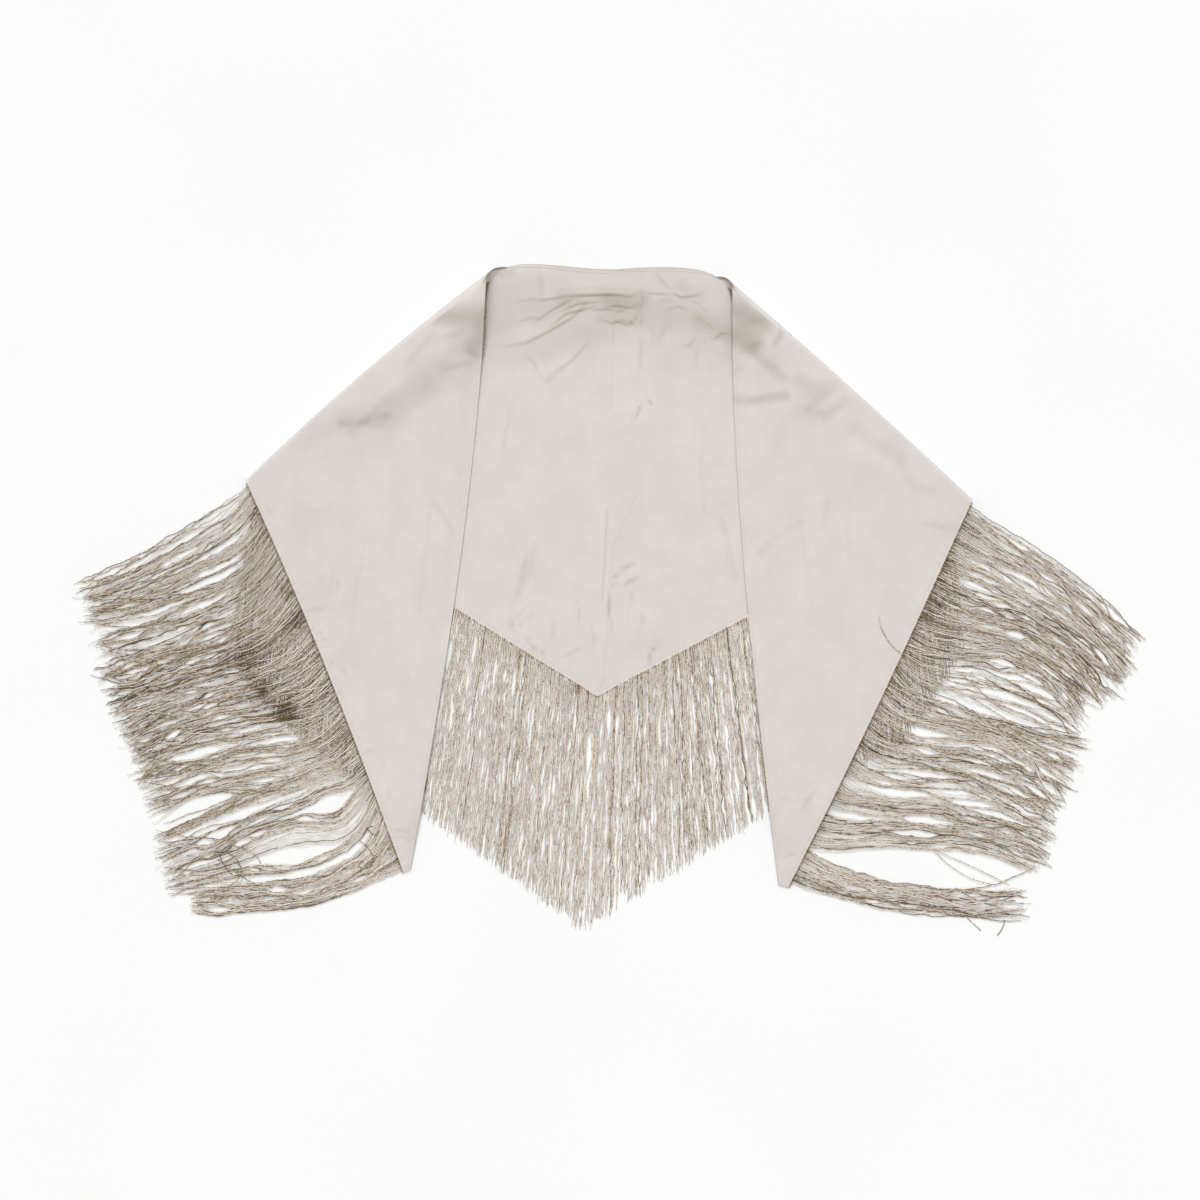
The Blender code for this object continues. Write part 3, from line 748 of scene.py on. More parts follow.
def relief(name, layer, plan, v, depth, along):
    """How far the cloth stands above its plain form, and how much painted shade darkens it there."""
    place = "back" if layer is BACK else name
    seed = {"back": 0.4, "left": 1.9, "right": 3.1}[place]
    calm = smooth(v / EDGE_CALM) * smooth((1 - v) / EDGE_CALM)
    height = calm * sum(soft_fold(fold, plan) for fold in FOLDS[place])
    inside = smooth(v * depth / 3) * smooth((1 - v) * depth / 3)
    painted_shade = 0.0 * height
    # Each crease raises a ridge over its gutter, and the gutter is darkened with painted shade
    for crease in CREASES[place]:
        ridge, gutter = sharp_crease(crease, plan, KEEN if layer is BACK else SOFT)
        height = height + inside * ridge
        painted_shade = painted_shade + inside * gutter
    painted_shade = np.minimum(painted_shade, 1.8)
    # Hollows sink the cloth a little and darken it with painted shade
    for hollow in HOLLOWS[place]:
        dip = soft_hollow(hollow, plan)
        height = height - HOLLOW_DEPTH * hollow.dark * inside * dip
        painted_shade = painted_shade + hollow.dark * dip
    # Painted shade in the slivers on the back beside the neck corners
    if layer is BACK:
        for sliver in SHADE_SLIVERS:
            painted_shade = painted_shade + sliver.dark * soft_hollow(sliver, plan)
    # Painted shade in a thin line along each layer's upper edge
    painted_shade = painted_shade + 1.1 * np.exp(-((v * depth / 0.9) ** 2))
    height = height + SWELL * calm * swell(plan, seed)
    height = height + edge_work(v * depth, (1 - v) * depth, along, seed)
    return np.maximum(height, 0.0), painted_shade


def front_height(half, plan, v):
    """The top of the front: high beside the roll, at rest on the back, then down to the table."""
    fall = (TIP_FALL_FROM - plan[..., 1]) / (TIP_FALL_FROM - TIP_FALL_TO)
    rest = lerp(FRONT_REST, TIP_REST, smooth(fall))
    from_roll = ((plan - front_fold(half, v)) * outward_at_shoulder(half)).sum(-1)
    near_roll = np.exp(-((from_roll / ROLL_REACH) ** 2))
    return lerp(rest, 2 * roll_radius(half, v), near_roll)


def edge_sinks(half, plan, s, from_neck):
    """The front's edge sinks onto the back, where no fringe lies between them."""
    on_cloth = smooth((plan[..., 1] - EDGE_ON_FRINGE) / FRINGE_LIFTS_OVER)
    past_roll = smooth((np.asarray(s) - 0.05) / 0.1)
    return EDGE_SINKS * on_cloth * past_roll * (1 - smooth(from_neck / EDGE_SINKS_OVER))


def surface(name, layer, s, v):
    """Points on the right side of one layer, with where each lies in the flat cloth and its painted shade.
    """
    half = HALVES[name]
    plan = patch(layer, half, s, v)
    depth = depth_at(layer, half, s)
    along = np.asarray(s) * length_of(layer.bottom(half, 1) - layer.bottom(half, 0))
    height, painted_shade = relief(name, layer, plan, v, depth, along)
    if layer is BACK:
        return raised(plan, height), plan, by_point(painted_shade)
    height = height + front_height(half, plan, v) - edge_sinks(half, plan, s, v * depth)
    outward = outward_at_shoulder(half)
    inward = plan - front_fold(half, v)
    mirrored = inward - outward * by_point(2 * (inward * outward).sum(-1))
    round_roll = outward * by_point(math.pi * roll_radius(half, v))
    flat = back_fold(half, v) + round_roll + mirrored
    return raised(plan, height), flat, by_point(painted_shade)


def roll_surface(name, turn, v):
    """Points round the shoulder, from the back's edge at turn 0 to the front's at turn 1."""
    half = HALVES[name]
    radius = roll_radius(half, v)
    out = outward_at_shoulder(half)
    plan = roll_centre(half, v, turn) + out * by_point(radius * np.sin(math.pi * turn))
    ones = np.ones_like(turn)
    from_back = surface(name, BACK, ones, v)[0][..., 2]
    from_front = surface(name, FRONT, 0 * ones, v)[0][..., 2] - 2 * radius
    height = radius * (1 - np.cos(math.pi * turn)) + lerp(from_back, from_front, smooth(turn))
    flat = back_fold(half, v) + out * by_point(math.pi * radius * turn)
    from_neck = v * length_of(half.shoulder_end - half.neck_corner)
    # Painted shade inside the roll at the neck corner, gone where the roll joins the front
    painted_shade = 2.6 * np.exp(-((from_neck / 4.4) ** 2)) * (1 - smooth((turn - 0.85) / 0.15))
    return raised(plan, height), flat, by_point(painted_shade)


def row_shares(depth, crowding):
    """How far down the cloth each row of a column lies: rows crowd at the hems and near the neck."""
    edge = by_point(np.minimum(EDGE_ZONE, depth * EDGE_ZONE_MOST) / depth)
    near = np.array(EDGE_ROWS)
    middle = np.linspace(0, 1, MIDDLE_ROWS) ** crowding
    return np.concatenate((edge * near, edge + (1 - 2 * edge) * middle, 1 - edge * near[::-1]), axis=-1)


def cloth_grid(name):
    """All points of one half, column by column, with its flat place and its painted shade."""
    half = HALVES[name]
    s = np.linspace(0, 1, BACK_COLUMNS + 1)
    v = row_shares(depth_at(BACK, half, s), BACK_CROWDING)
    back = surface(name, BACK, by_point(s) + 0 * v, v)
    turn = np.linspace(0, 1, ROLL_COLUMNS + 1)[1:-1]
    shoulder = length_of(half.shoulder_end - half.neck_corner) * np.ones_like(turn)
    v = row_shares(shoulder, lerp(BACK_CROWDING, FRONT_CROWDING, by_point(turn)))
    roll = roll_surface(name, by_point(turn) + 0 * v, v)
    s = np.linspace(0, 1, FRONT_COLUMNS + 1)
    v = row_shares(depth_at(FRONT, half, s), FRONT_CROWDING)
    front = surface(name, FRONT, by_point(s) + 0 * v, v)
    return [np.concatenate(parts) for parts in zip(back, roll, front)]


def placed(points):
    """Plan measures turned into metres from the middle of the footprint."""
    return (points - FOOTPRINT_CENTRE) * MM


def apply_modifiers(obj):
    bpy.ops.object.select_all(action="DESELECT")
    obj.select_set(True)
    bpy.context.view_layer.objects.active = obj
    for modifier in list(obj.modifiers):
        bpy.ops.object.modifier_apply(modifier=modifier.name)


def write_attribute(mesh, name, values):
    attribute = mesh.attributes.new(name, "FLOAT_VECTOR", "POINT")
    attribute.data.foreach_set("vector", np.ascontiguousarray(values, np.float32).ravel())


def new_piece(name, mesh, material):
    mesh.materials.append(material)
    mesh.shade_smooth()
    obj = bpy.data.objects.new(name, mesh)
    bpy.context.scene.collection.objects.link(obj)
    return obj


def grid_sheet(name, points, flats, painted_shade, material, thickness, up_side):
    """A sheet laid through a grid of points, given its thickness below its upper side.

    up_side is 1 where the sheet's own face at the last column looks up from columns to rows.
    """
    columns, rows = points.shape[0], points.shape[1]
    bm = bmesh.new()
    bmesh.ops.create_grid(bm, x_segments=columns - 1, y_segments=rows - 1, size=0.5)
    mesh = bpy.data.meshes.new(name)
    if up_side < 0:
        bmesh.ops.reverse_faces(bm, faces=bm.faces[:])
    bm.to_mesh(mesh)
    bm.free()
    corners = np.zeros(len(mesh.vertices) * 3)
    mesh.vertices.foreach_get("co", corners)
    corners = corners.reshape(-1, 3)
    column = np.rint((corners[:, 0] + 0.5) * (columns - 1)).astype(int)
    row = np.rint((corners[:, 1] + 0.5) * (rows - 1)).astype(int)
    mesh.vertices.foreach_set("co", placed(points[column, row]).ravel())
    # The grain attribute holds each point's place in the flat cloth and, as its third value, the painted
    # shade
    flat = np.concatenate((flats * MM, painted_shade), axis=-1)
    write_attribute(mesh, "grain", flat[column, row])
    sheet = new_piece(name, mesh, material)
    wall = sheet.modifiers.new("thickness", "SOLIDIFY")
    wall.thickness = thickness * MM
    wall.offset = -1.0
    apply_modifiers(sheet)
    sheet.data.set_sharp_from_angle(angle=math.radians(SHARP_ANGLE))
    return sheet


def add_cloth(name, material):
    points, flats, painted_shade = cloth_grid(name)
    return grid_sheet(f"cloth_{name}_sheet", points, flats, painted_shade, material, CLOTH, HALVES[name].side)


def add_allowance(material):
    """The centre seam's allowance: a strip on the wrong side, lying over to the right of the seam."""
    half = HALVES["right"]
    down = np.linspace(ALLOWANCE[0].down, ALLOWANCE[-1].down, ALLOWANCE_ROWS)
    width = evened(read_off(ALLOWANCE, "down", "width", down), 6, mode="edge")
    width = width + 0.5 * np.sin(down / 6.1) * np.sin(down / 17)
    across = ALLOWANCE_ACROSS
    length = length_of(BACK_POINT - NECK_CENTRE)
    v = by_point(down / length) + 0 * across
    plan = seam(half, v)
    plan = plan + np.stack((by_point(width) * across, 0 * v), axis=-1)
    depth = length + 0 * v
    base, painted_shade = relief("right", BACK, plan, v, depth, plan[..., 0])
    curl = 0.05 * np.exp(-(((1 - across) * by_point(width)) / 3.0)) * (1 + np.sin(by_point(down) / 11))
    height = base + CLOTH - 0.03 + 0.2 * smooth(across / 0.2) - 0.12 * smooth((across - 0.85) / 0.15) + curl
    points = raised(plan - (0.3, 0), height)
    grain = plan + ALLOWANCE_GRAIN
    return grid_sheet("seam_allowance", points, grain, by_point(painted_shade), material, ALLOWANCE_CLOTH, -1)


def joined_mesh(name, points, quads, caps, material):
    """One mesh from arrays: its points in metres, its four-sided faces and its three-sided caps."""
    mesh = bpy.data.meshes.new(name)
    corners = np.concatenate((quads.ravel(), caps.ravel())).astype(np.int32)
    starts = np.concatenate((np.arange(len(quads)) * 4, len(quads) * 4 + np.arange(len(caps)) * 3))
    mesh.vertices.add(len(points))
    mesh.vertices.foreach_set("co", points.astype(np.float32).ravel())
    mesh.loops.add(len(corners))
    mesh.loops.foreach_set("vertex_index", corners)
    mesh.polygons.add(len(starts))
    mesh.polygons.foreach_set("loop_start", starts.astype(np.int32))
    mesh.update(calc_edges=True)
    mesh.validate()
    return new_piece(name, mesh, material)


def add_strands(name, groups, material):
    """Three-sided strands, one along each path. A group holds paths of one ring count, with their
    thickness and tone along them."""
    all_points, all_quads, all_caps, all_yarn = [], [], [], []
    offset = 0
    for paths, thickness, tones in groups:
        count, rings = paths.shape[0], paths.shape[1]
        forward = unit(np.gradient(paths, axis=1))
        side = unit(np.cross(forward, UP))
        rise = np.cross(side, forward)
        turns = math.pi / 2 + np.arange(3) * (2 * math.pi / 3)
        around = np.cos(turns)[:, None] * side[:, :, None, :] + np.sin(turns)[:, None] * rise[:, :, None, :]
        points = paths[:, :, None, :] + around * thickness[:, :, None, None]
        ids = offset + np.arange(count * rings * 3).reshape(count, rings, 3)
        after = np.roll(ids, -1, axis=2)
        quads = np.stack((ids[:, :-1], ids[:, 1:], after[:, 1:], after[:, :-1]), axis=-1)
        gone = gone_along(paths)
        yarn = np.stack((gone * MM, tones + 0 * gone, np.arange(count)[:, None] + 0 * gone), axis=-1)
        all_points.append(points.reshape(-1, 3))
        all_quads.append(quads.reshape(-1, 4))
        all_caps.append(ids[:, 0].reshape(-1, 3))
        all_caps.append(ids[:, -1, ::-1].reshape(-1, 3))
        all_yarn.append(np.repeat(yarn[:, :, None, :], 3, axis=2).reshape(-1, 3))
        offset += count * rings * 3
    points = placed(np.concatenate(all_points))
    piece = joined_mesh(name, points, np.concatenate(all_quads), np.concatenate(all_caps), material)
    write_attribute(piece.data, "yarn", np.concatenate(all_yarn))
    return piece


def hem_path(hem, half, distance):
    """Plan points at distances along a hem, and the unit step away from the cloth there."""
    length = length_of(hem(half, 1.0) - hem(half, 0.0))
    s = np.clip(distance / length, 0, 1)
    step = 1e-3
    ahead = hem(half, np.minimum(s + step, 1)) - hem(half, np.maximum(s - step, 0))
    outward = left_of(ahead) * (-half.side if hem is back_hem else half.side)
    return hem(half, s), outward, s


def hem_level(name, hem, s):
    """The height of the cloth's edge along a hem."""
    layer = BACK if hem is back_hem else FRONT
    return surface(name, layer, s, np.ones_like(s))[0][..., 2]


def wander(rng, count, share, reach):
    """How each strand strays to the side along its length: a long bend, a wave and a fine crinkle."""
    long_beat = rng.uniform(*LONG_BEATS, (count, 1))
    short_beat = rng.uniform(*SHORT_BEATS, (count, 1))
    phase = rng.uniform(0, 2 * math.pi, (count, 2))
    bend = rng.normal(0, reach, (count, 1)) * np.sin(2 * math.pi * long_beat * share + phase[:, :1])
    wave = rng.uniform(*WAVES, (count, 1)) * np.sin(2 * math.pi * short_beat * share + phase[:, 1:])
    crinkle = rng.normal(0, CRINKLE, (count, len(share)))
    return (bend + wave) * smooth(share / 0.15) + crinkle * smooth(share / 0.05)


def strays(rng, count, near, far):
    """Sideways scatter for strands that mostly keep together, with a few that part from the rest."""
    apart = rng.uniform(0, 1, count) < STRAYING
    return rng.normal(0, 1, count) * np.where(apart, far, near)


def strand_tone(rng, paths, middle, spread, dark_share=DARK_STRANDS):
    """How light each strand is along its length: some are dark, and all get painted shade where the
    fringe is thickest."""
    dark = rng.uniform(0, 1, (len(paths), 1)) < dark_share
    tone = rng.normal(0, spread, (len(paths), 1)) + np.where(dark, middle - DARKER, middle)
    tone = tone + 0 * paths[..., 0]
    for deep in FRINGE_SHADE_SPOTS:
        away = length_of(paths[..., :2] - (deep.x, deep.y)) / deep.radius
        tone = tone - deep.dark * np.exp(-(away**2))
    return tone


def gathering(roots, share, seed):
    """Neighbouring strands draw together into small clumps, with fine gaps between them."""
    fine = 0.75 * np.sin(2 * math.pi * roots / FINE_CLUMPS + 2.2 * np.sin(roots / 7.9 + seed) + 3 * share)
    broad = 1.5 * np.sin(2 * math.pi * roots / BROAD_CLUMPS + 2.6 * np.sin(roots / 31.0 + seed) - 2 * share)
    return (fine + broad) * smooth(share / 0.3)


def small_openings(rng, plan, gaps):
    """Short gaps, each placed somewhere on a strand."""
    for _ in range(gaps.count):
        strand = rng.integers(len(plan))
        ring = round(plan.shape[1] * rng.uniform(gaps.start, 0.97)) - 1
        x, y = plan[strand, ring]
        yield Opening(x, y, rng.uniform(*GAP_LENGTHS), rng.uniform(GAP_NARROWEST, gaps.widest))


def parted(plan, openings):
    """Strands pushed apart round each opening, which closes again at both of its ends."""
    gone = gone_along(plan)
    hold = smooth(gone / HEM_HOLDS)
    each = np.arange(len(plan))
    for opening in openings:
        away = plan - (opening.x, opening.y)
        nearest = length_of(away).argmin(axis=1)
        aside = left_of(np.gradient(plan, axis=1))
        across = (away[each, nearest] * aside[each, nearest]).sum(-1)
        reach = 3.2 * opening.wide + 2.5
        push = np.where(across < 0, -1, 1) * opening.wide * np.exp(-np.abs(across) / reach)
        push = push * (length_of(away[each, nearest]) < 3 * reach + np.abs(across))
        along = (gone - gone[each, nearest][:, None]) / opening.long
        plan = plan + aside * (push[:, None] * np.exp(-(along**2)) * hold)[..., None]
    return plan


def strand_thickness(rng, count, rings):
    share = np.linspace(0, 1, rings)
    thin = 1 - 0.55 * smooth((share - 0.93) / 0.07)
    return STRAND * rng.uniform(*THICKNESS_VARIES, (count, 1)) * thin


def hidden_fringe_under(name, plan):
    """Where the back's hidden fringe lies below a front strand: 1 over it, easing to 0 past its tips."""
    side = HALVES[name].side
    tips = [(side * fan.tip_x, fan.tip_y) for fan in BACK_FANS[name][1:]]
    fold_x, fold_y = side * front_fold(HALVES[name], 1.0)[0], front_fold(HALVES[name], 1.0)[1]
    x, y = side * plan[..., 0], plan[..., 1]
    last_x, last_y = tips[-1]
    tip_y = np.interp(x, [tip[0] for tip in tips], [tip[1] for tip in tips])
    rim_x = lerp(last_x, fold_x, np.clip((y - last_y) / (fold_y - last_y), 0, 1))
    return smooth((y - tip_y) / LANDS_OVER + 0.5) * smooth((rim_x - x) / LANDS_OVER + 0.5)


def front_strands(name, rng):
    """The fringe of one front: strands from the hem past their bundle's waist to its tip."""
    half = HALVES[name]
    rows = FRONT_BUNDLES[name]
    share = np.linspace(0, 1, FRONT_RINGS)
    paths, piled = [], []
    for number, row in enumerate(rows):
        count = round((row.root_to - row.root_from) * FRONT_STRANDS_PER_MM[name])
        place = (np.arange(count) + rng.uniform(0.1, 0.9, count)) / count
        distance = lerp(row.root_from, row.root_to, place)
        point, outward, s = hem_path(front_hem, half, distance)
        level = hem_level(name, front_hem, s)
        root = point - outward * rng.uniform(0.2, 1.6, (count, 1))
        middle_root = hem_path(front_hem, half, np.array([(row.root_from + row.root_to) / 2]))[0][0]
        waist, tip = np.array((row.waist_x, row.waist_y)), np.array((row.tip_x, row.tip_y))
        across_waist = left_of(tip - middle_root) * half.side
        across_tip = left_of(tip - waist) * half.side
        scatter = np.array((strays(rng, count, *WAIST_SCATTER), strays(rng, count, *TIP_SCATTER)))
        spread = np.clip(0.5 - place + scatter, -FARTHEST, FARTHEST)
        to_waist = waist + across_waist * by_point(spread[0] * row.waist_w * WAIST_FILL)
        to_tip = tip + across_tip * by_point(spread[1] * row.tip_w * TIP_FILL)
        neighbour = rows[min(max(number + rng.choice((-1, 1)), 0), len(rows) - 1)]
        crosses = by_point(rng.uniform(0, 1, count) < CROSSING)
        other_tip = np.array((neighbour.tip_x, neighbour.tip_y)) + rng.normal(0, 5, (count, 2))
        to_tip = np.where(crosses, other_tip, to_tip)
        to_tip = to_tip + unit(to_tip - to_waist) * rng.normal(*TIP_LENGTHS, (count, 1))
        first, second = length_of(waist - middle_root), length_of(tip - waist)
        w = first / (first + second)
        t = share[None, :, None]
        plan = root[:, None] * ((t - w) * (t - 1) / w)
        plan = plan + to_waist[:, None] * (t * (t - 1) / (w * (w - 1)))
        plan = plan + to_tip[:, None] * (t * (t - w) / (1 - w))
        fall = read_off(DROOPS[name], "root", "fall", distance)[:, None]
        beyond = share / DROOP_PEAK
        uneven = rng.uniform(*DROOP_VARIES, (count, 1))
        plan[..., 1] -= fall * (beyond * np.exp(1 - beyond)) ** 1.2 * uneven
        sideways = left_of(to_tip - root)[:, None]
        clumps = gathering(distance[:, None], share, number + half.side)
        shift = wander(rng, count, share, FRONT_BEND) + clumps
        plan = plan + sideways * shift[..., None]
        under = hidden_fringe_under(name, plan) if row.carried else 0 * plan[..., 0]
        base = lerp(FLOOR_CLEAR, CARRIED, under)
        base = lerp(level[:, None] - ROOT_BELOW, base, smooth(share / LEAVE_SHARE))
        stack = rng.uniform(0, STACK, (count, 1)) * smooth(share / 0.06)
        beats = share * rng.uniform(1, 3, (count, 1)) + rng.uniform(0, 1, (count, 1))
        lift = 0.35 * np.sin(2 * math.pi * beats)
        height = base + STRAND + stack * (1 + 0.15 * lift)
        paths.append(raised(plan, height))
        piled.append(stack / STACK - 0.5)
    paths = np.concatenate(paths)
    plan = parted(paths[..., :2], OPENINGS[name])
    paths[..., :2] = parted(plan, small_openings(rng, plan, FRONT_GAPS))
    # Painted shade on the lower strands of each pile and painted light on the upper ones, and painted light
    # near the hem
    tone = strand_tone(rng, paths, FRONT_TONE[name], FRONT_SPREAD) + FRONT_PILE_PAINTED_SHADE * np.concatenate(piled)
    tone = tone + HEM_PAINTED_LIGHT[name] * np.exp(-share / 0.2)
    return paths, strand_thickness(rng, len(paths), FRONT_RINGS), tone


def back_strands(name, rng, stretch):
    """A stretch of the back fringe, fanning down from the hem, and how light its strands are."""
    half = HALVES[name]
    fans = BACK_FANS[name]
    share = np.linspace(0, 1, stretch.rings)
    count = round((stretch.end - stretch.start) * stretch.per_mm)
    place = (np.arange(count) + rng.uniform(0, 1, count)) / count
    distance = lerp(stretch.start, stretch.end, place)
    point, _, s = hem_path(back_hem, half, distance)
    level = hem_level(name, back_hem, s)
    down = np.array((0.0, -1.0))
    root = point - down * rng.uniform(0.4, 1.8, (count, 1))
    tip = np.stack([read_off(fans, "root", column, distance) for column in ("tip_x", "tip_y")], axis=-1)
    tip = tip + np.stack((rng.normal(0, 1.6, count), rng.normal(1.0, 2.4, count)), axis=-1)
    for notch in NOTCHES:
        inside = np.clip(1 - np.abs(tip[:, 0] - notch.x) / notch.width, 0, 1)
        tip[:, 1] += notch.height * np.sqrt(inside) * rng.uniform(0.6, 1, count)
    plan = lerp(root[:, None], tip[:, None], share[None, :, None])
    sideways = left_of(tip - root)[:, None]
    clumps = gathering(distance[:, None], share, 5 + half.side)
    shift = wander(rng, count, share, BACK_BEND) + BACK_GATHERS * clumps
    plan = plan + sideways * shift[..., None]
    stack = rng.uniform(0, STACK, (count, 1)) * smooth(share / 0.06)
    leaving = lerp(np.maximum(level[:, None] - 0.1, STRAND), FLOOR_CLEAR + STRAND, smooth(share / 0.05))
    height = leaving + stack
    paths = raised(plan, height)
    plan = paths[..., :2]
    paths[..., :2] = parted(plan, small_openings(rng, plan, BACK_GAPS))
    tone = strand_tone(rng, paths, stretch.tone, BACK_SPREAD, BACK_DARK_STRANDS)
    # Painted shade on the lower strands of the pile and painted light on the upper ones
    tone = tone + BACK_PILE_PAINTED_SHADE * (stack / STACK - 0.5)
    return paths, strand_thickness(rng, count, stretch.rings), tone


def stray_strands(name, rng):
    """Loose threads on top, each a smooth line through its points."""
    paths = []
    for stray in STRAYS[name]:
        points = np.array(stray.points, float)
        gone = gone_along(points)
        marks = np.linspace(0, gone[-1], STRAY_RINGS)
        lines = [np.interp(marks, gone, points[:, axis]) for axis in (0, 1)]
        lines = [evened(line, 8, mode="reflect", reflect_type="odd") for line in lines]
        paths.append(np.stack((*lines, np.full(STRAY_RINGS, stray.height + STRAND)), axis=-1))
    paths = np.array(paths)
    thickness = strand_thickness(rng, len(paths), STRAY_RINGS)
    return paths, thickness, strand_tone(rng, paths, STRAY_TONE, STRAY_SPREAD)


def chain_heading(name, hem, start, end):
    """The fringe's narrow chained heading: a row of small loops along the cloth's edge."""
    half = HALVES[name]
    distance = np.arange(start, end, LINK_PITCH)
    bend = np.linspace(0, math.pi, 8)
    along = distance[:, None] - np.cos(bend) * LINK_PITCH * 0.62
    point, outward, s = hem_path(hem, half, along)
    reach = 0.1 + np.sin(bend) * LINK_REACH
    plan = point + outward * by_point(reach + 0 * along)
    level = hem_level(name, hem, s)
    top = level + (CLOTH if hem is back_hem else 0.0)
    height = np.maximum(top - 0.45 + 0.55 * np.sin(bend) ** 0.7, CHAIN_YARN + 0.05)
    paths = raised(plan, height)
    thickness = np.full(along.shape, CHAIN_YARN)
    return paths, thickness, 0.2 + 0.2 * np.sin(np.arange(len(paths)) * 1.7)[:, None]


def stitch_row(name, layer, inset, at_hem):
    """A row of stitches along one edge of a layer, a fixed inset into the cloth."""
    half = HALVES[name]
    edge = layer.bottom if at_hem else layer.top
    marks = np.linspace(0, 1, 400)
    gone = gone_along(edge(half, marks))
    centre = np.arange(STITCH_PITCH, gone[-1] - STITCH_PITCH, STITCH_PITCH)
    along = centre[:, None] + np.linspace(-0.5, 0.5, 4) * STITCH
    s = np.interp(along, gone, marks)
    depth = depth_at(layer, half, s)
    inside = np.minimum(inset, 0.45 * depth) / depth
    points = surface(name, layer, s, 1 - inside if at_hem else inside)[0]
    top = CLOTH if layer is BACK else 0.0
    points[..., 2] += top + STITCH_HEIGHTS
    return points, np.full(along.shape, THREAD), np.full(along.shape, 0.5)


def linear(hex_code):
    """An sRGB hex colour as the linear values that a shader takes."""
    parts = [int(hex_code[i : i + 2], 16) / 255 for i in (1, 3, 5)]
    return tuple(p / 12.92 if p <= 0.04045 else ((p + 0.055) / 1.055) ** 2.4 for p in parts) + (1.0,)


def add_node(tree, kind, inputs=(), **settings):
    """A node with its settings. inputs pairs a socket with a value or with another node's output."""
    node = tree.nodes.new(kind)
    for name, value in settings.items():
        setattr(node, name, value)
    for socket, value in inputs:
        if isinstance(value, bpy.types.NodeSocket):
            tree.links.new(value, node.inputs[socket])
        else:
            node.inputs[socket].default_value = value
    return node


def new_material(name):
    material = bpy.data.materials.new(name)
    material.use_nodes = True
    tree = material.node_tree
    return material, tree, tree.nodes["Principled BSDF"]


def washed_silk():
    """Sand-washed silk noil, woven plain and garment-washed: matt, a little cloudy, with fine slubs."""
    material, tree, shader = new_material("washed_silk_noil")
    grain = add_node(tree, "ShaderNodeAttribute", attribute_name="grain").outputs["Vector"]
    cloud = add_node(
        tree,
        "ShaderNodeTexNoise",
        [("Vector", grain), ("Scale", 1000 / 38), ("Detail", 3.0), ("Roughness", 0.55)],
        noise_dimensions="2D",
    )
    # Slubs are thick places about 40 mm long and 1.4 mm wide, along the weft and along the warp
    threads = []
    for scale, start in (((1000 / 46, 1000 / 1.3, 1), 3.0), ((1000 / 1.5, 1000 / 38, 1), 9.0)):
        drawn_out = add_node(
            tree,
            "ShaderNodeMapping",
            [("Vector", grain), ("Location", (start, start, 0)), ("Scale", scale)],
        )
        slub = add_node(
            tree,
            "ShaderNodeTexNoise",
            [("Vector", drawn_out.outputs[0]), ("Scale", 1.0), ("Detail", 2.0), ("Roughness", 0.5)],
            noise_dimensions="2D",
        )
        threads.append(slub.outputs[0])
    slubs = add_node(tree, "ShaderNodeMath", [(0, threads[0]), (1, threads[1])], operation="ADD").outputs[0]
    shade = add_node(
        tree,
        "ShaderNodeMapRange",
        [("Value", slubs), ("From Min", 0.75), ("From Max", 1.25), ("To Min", 0.985), ("To Max", 1.012)],
    )
    body = add_node(
        tree,
        "ShaderNodeMix",
        [(0, cloud.outputs[0]), (6, linear("#D4CAC6")), (7, linear("#E0DAD6"))],
        data_type="RGBA",
    )
    # Painted shade: creases, hollows, edges and the slivers by the neck corners are darkened and turned
    # browner, standing in for the shade that falls there
    painted_shade_share = add_node(tree, "ShaderNodeSeparateXYZ", [(0, grain)])
    painted_shade_share = add_node(tree, "ShaderNodeMath", [(0, painted_shade_share.outputs[2]), (1, 3.0)], operation="DIVIDE")
    painted_shade_tint = add_node(
        tree,
        "ShaderNodeMix",
        [(0, painted_shade_share.outputs[0]), (6, (1, 1, 1, 1)), (7, linear("#8E8262"))],
        data_type="RGBA",
    )
    colour = body.outputs[2]
    for layer in (shade.outputs[0], painted_shade_tint.outputs[2]):
        mixed = [(0, 1.0), (6, colour), (7, layer)]
        colour = add_node(tree, "ShaderNodeMix", mixed, data_type="RGBA", blend_type="MULTIPLY").outputs[2]
    tree.links.new(colour, shader.inputs["Base Color"])
    # The real threads are about 0.4 mm apart, too fine to show: they are drawn 1.1 mm apart
    weave = add_node(
        tree,
        "ShaderNodeTexNoise",
        [("Vector", grain), ("Scale", 1000 / 1.1), ("Detail", 1.0)],
        noise_dimensions="2D",
    )
    rough = add_node(tree, "ShaderNodeMath", [(0, slubs), (1, weave.outputs[0])], operation="ADD")
    bump = add_node(
        tree, "ShaderNodeBump", [("Height", rough.outputs[0]), ("Strength", 0.35), ("Distance", 0.0003)]
    )
    tree.links.new(bump.outputs[0], shader.inputs["Normal"])
    shader.inputs["Roughness"].default_value = 0.62
    shader.inputs["Specular IOR Level"].default_value = 0.3
    shader.inputs["Sheen Weight"].default_value = 0.12
    shader.inputs["Sheen Roughness"].default_value = 0.4
    return material


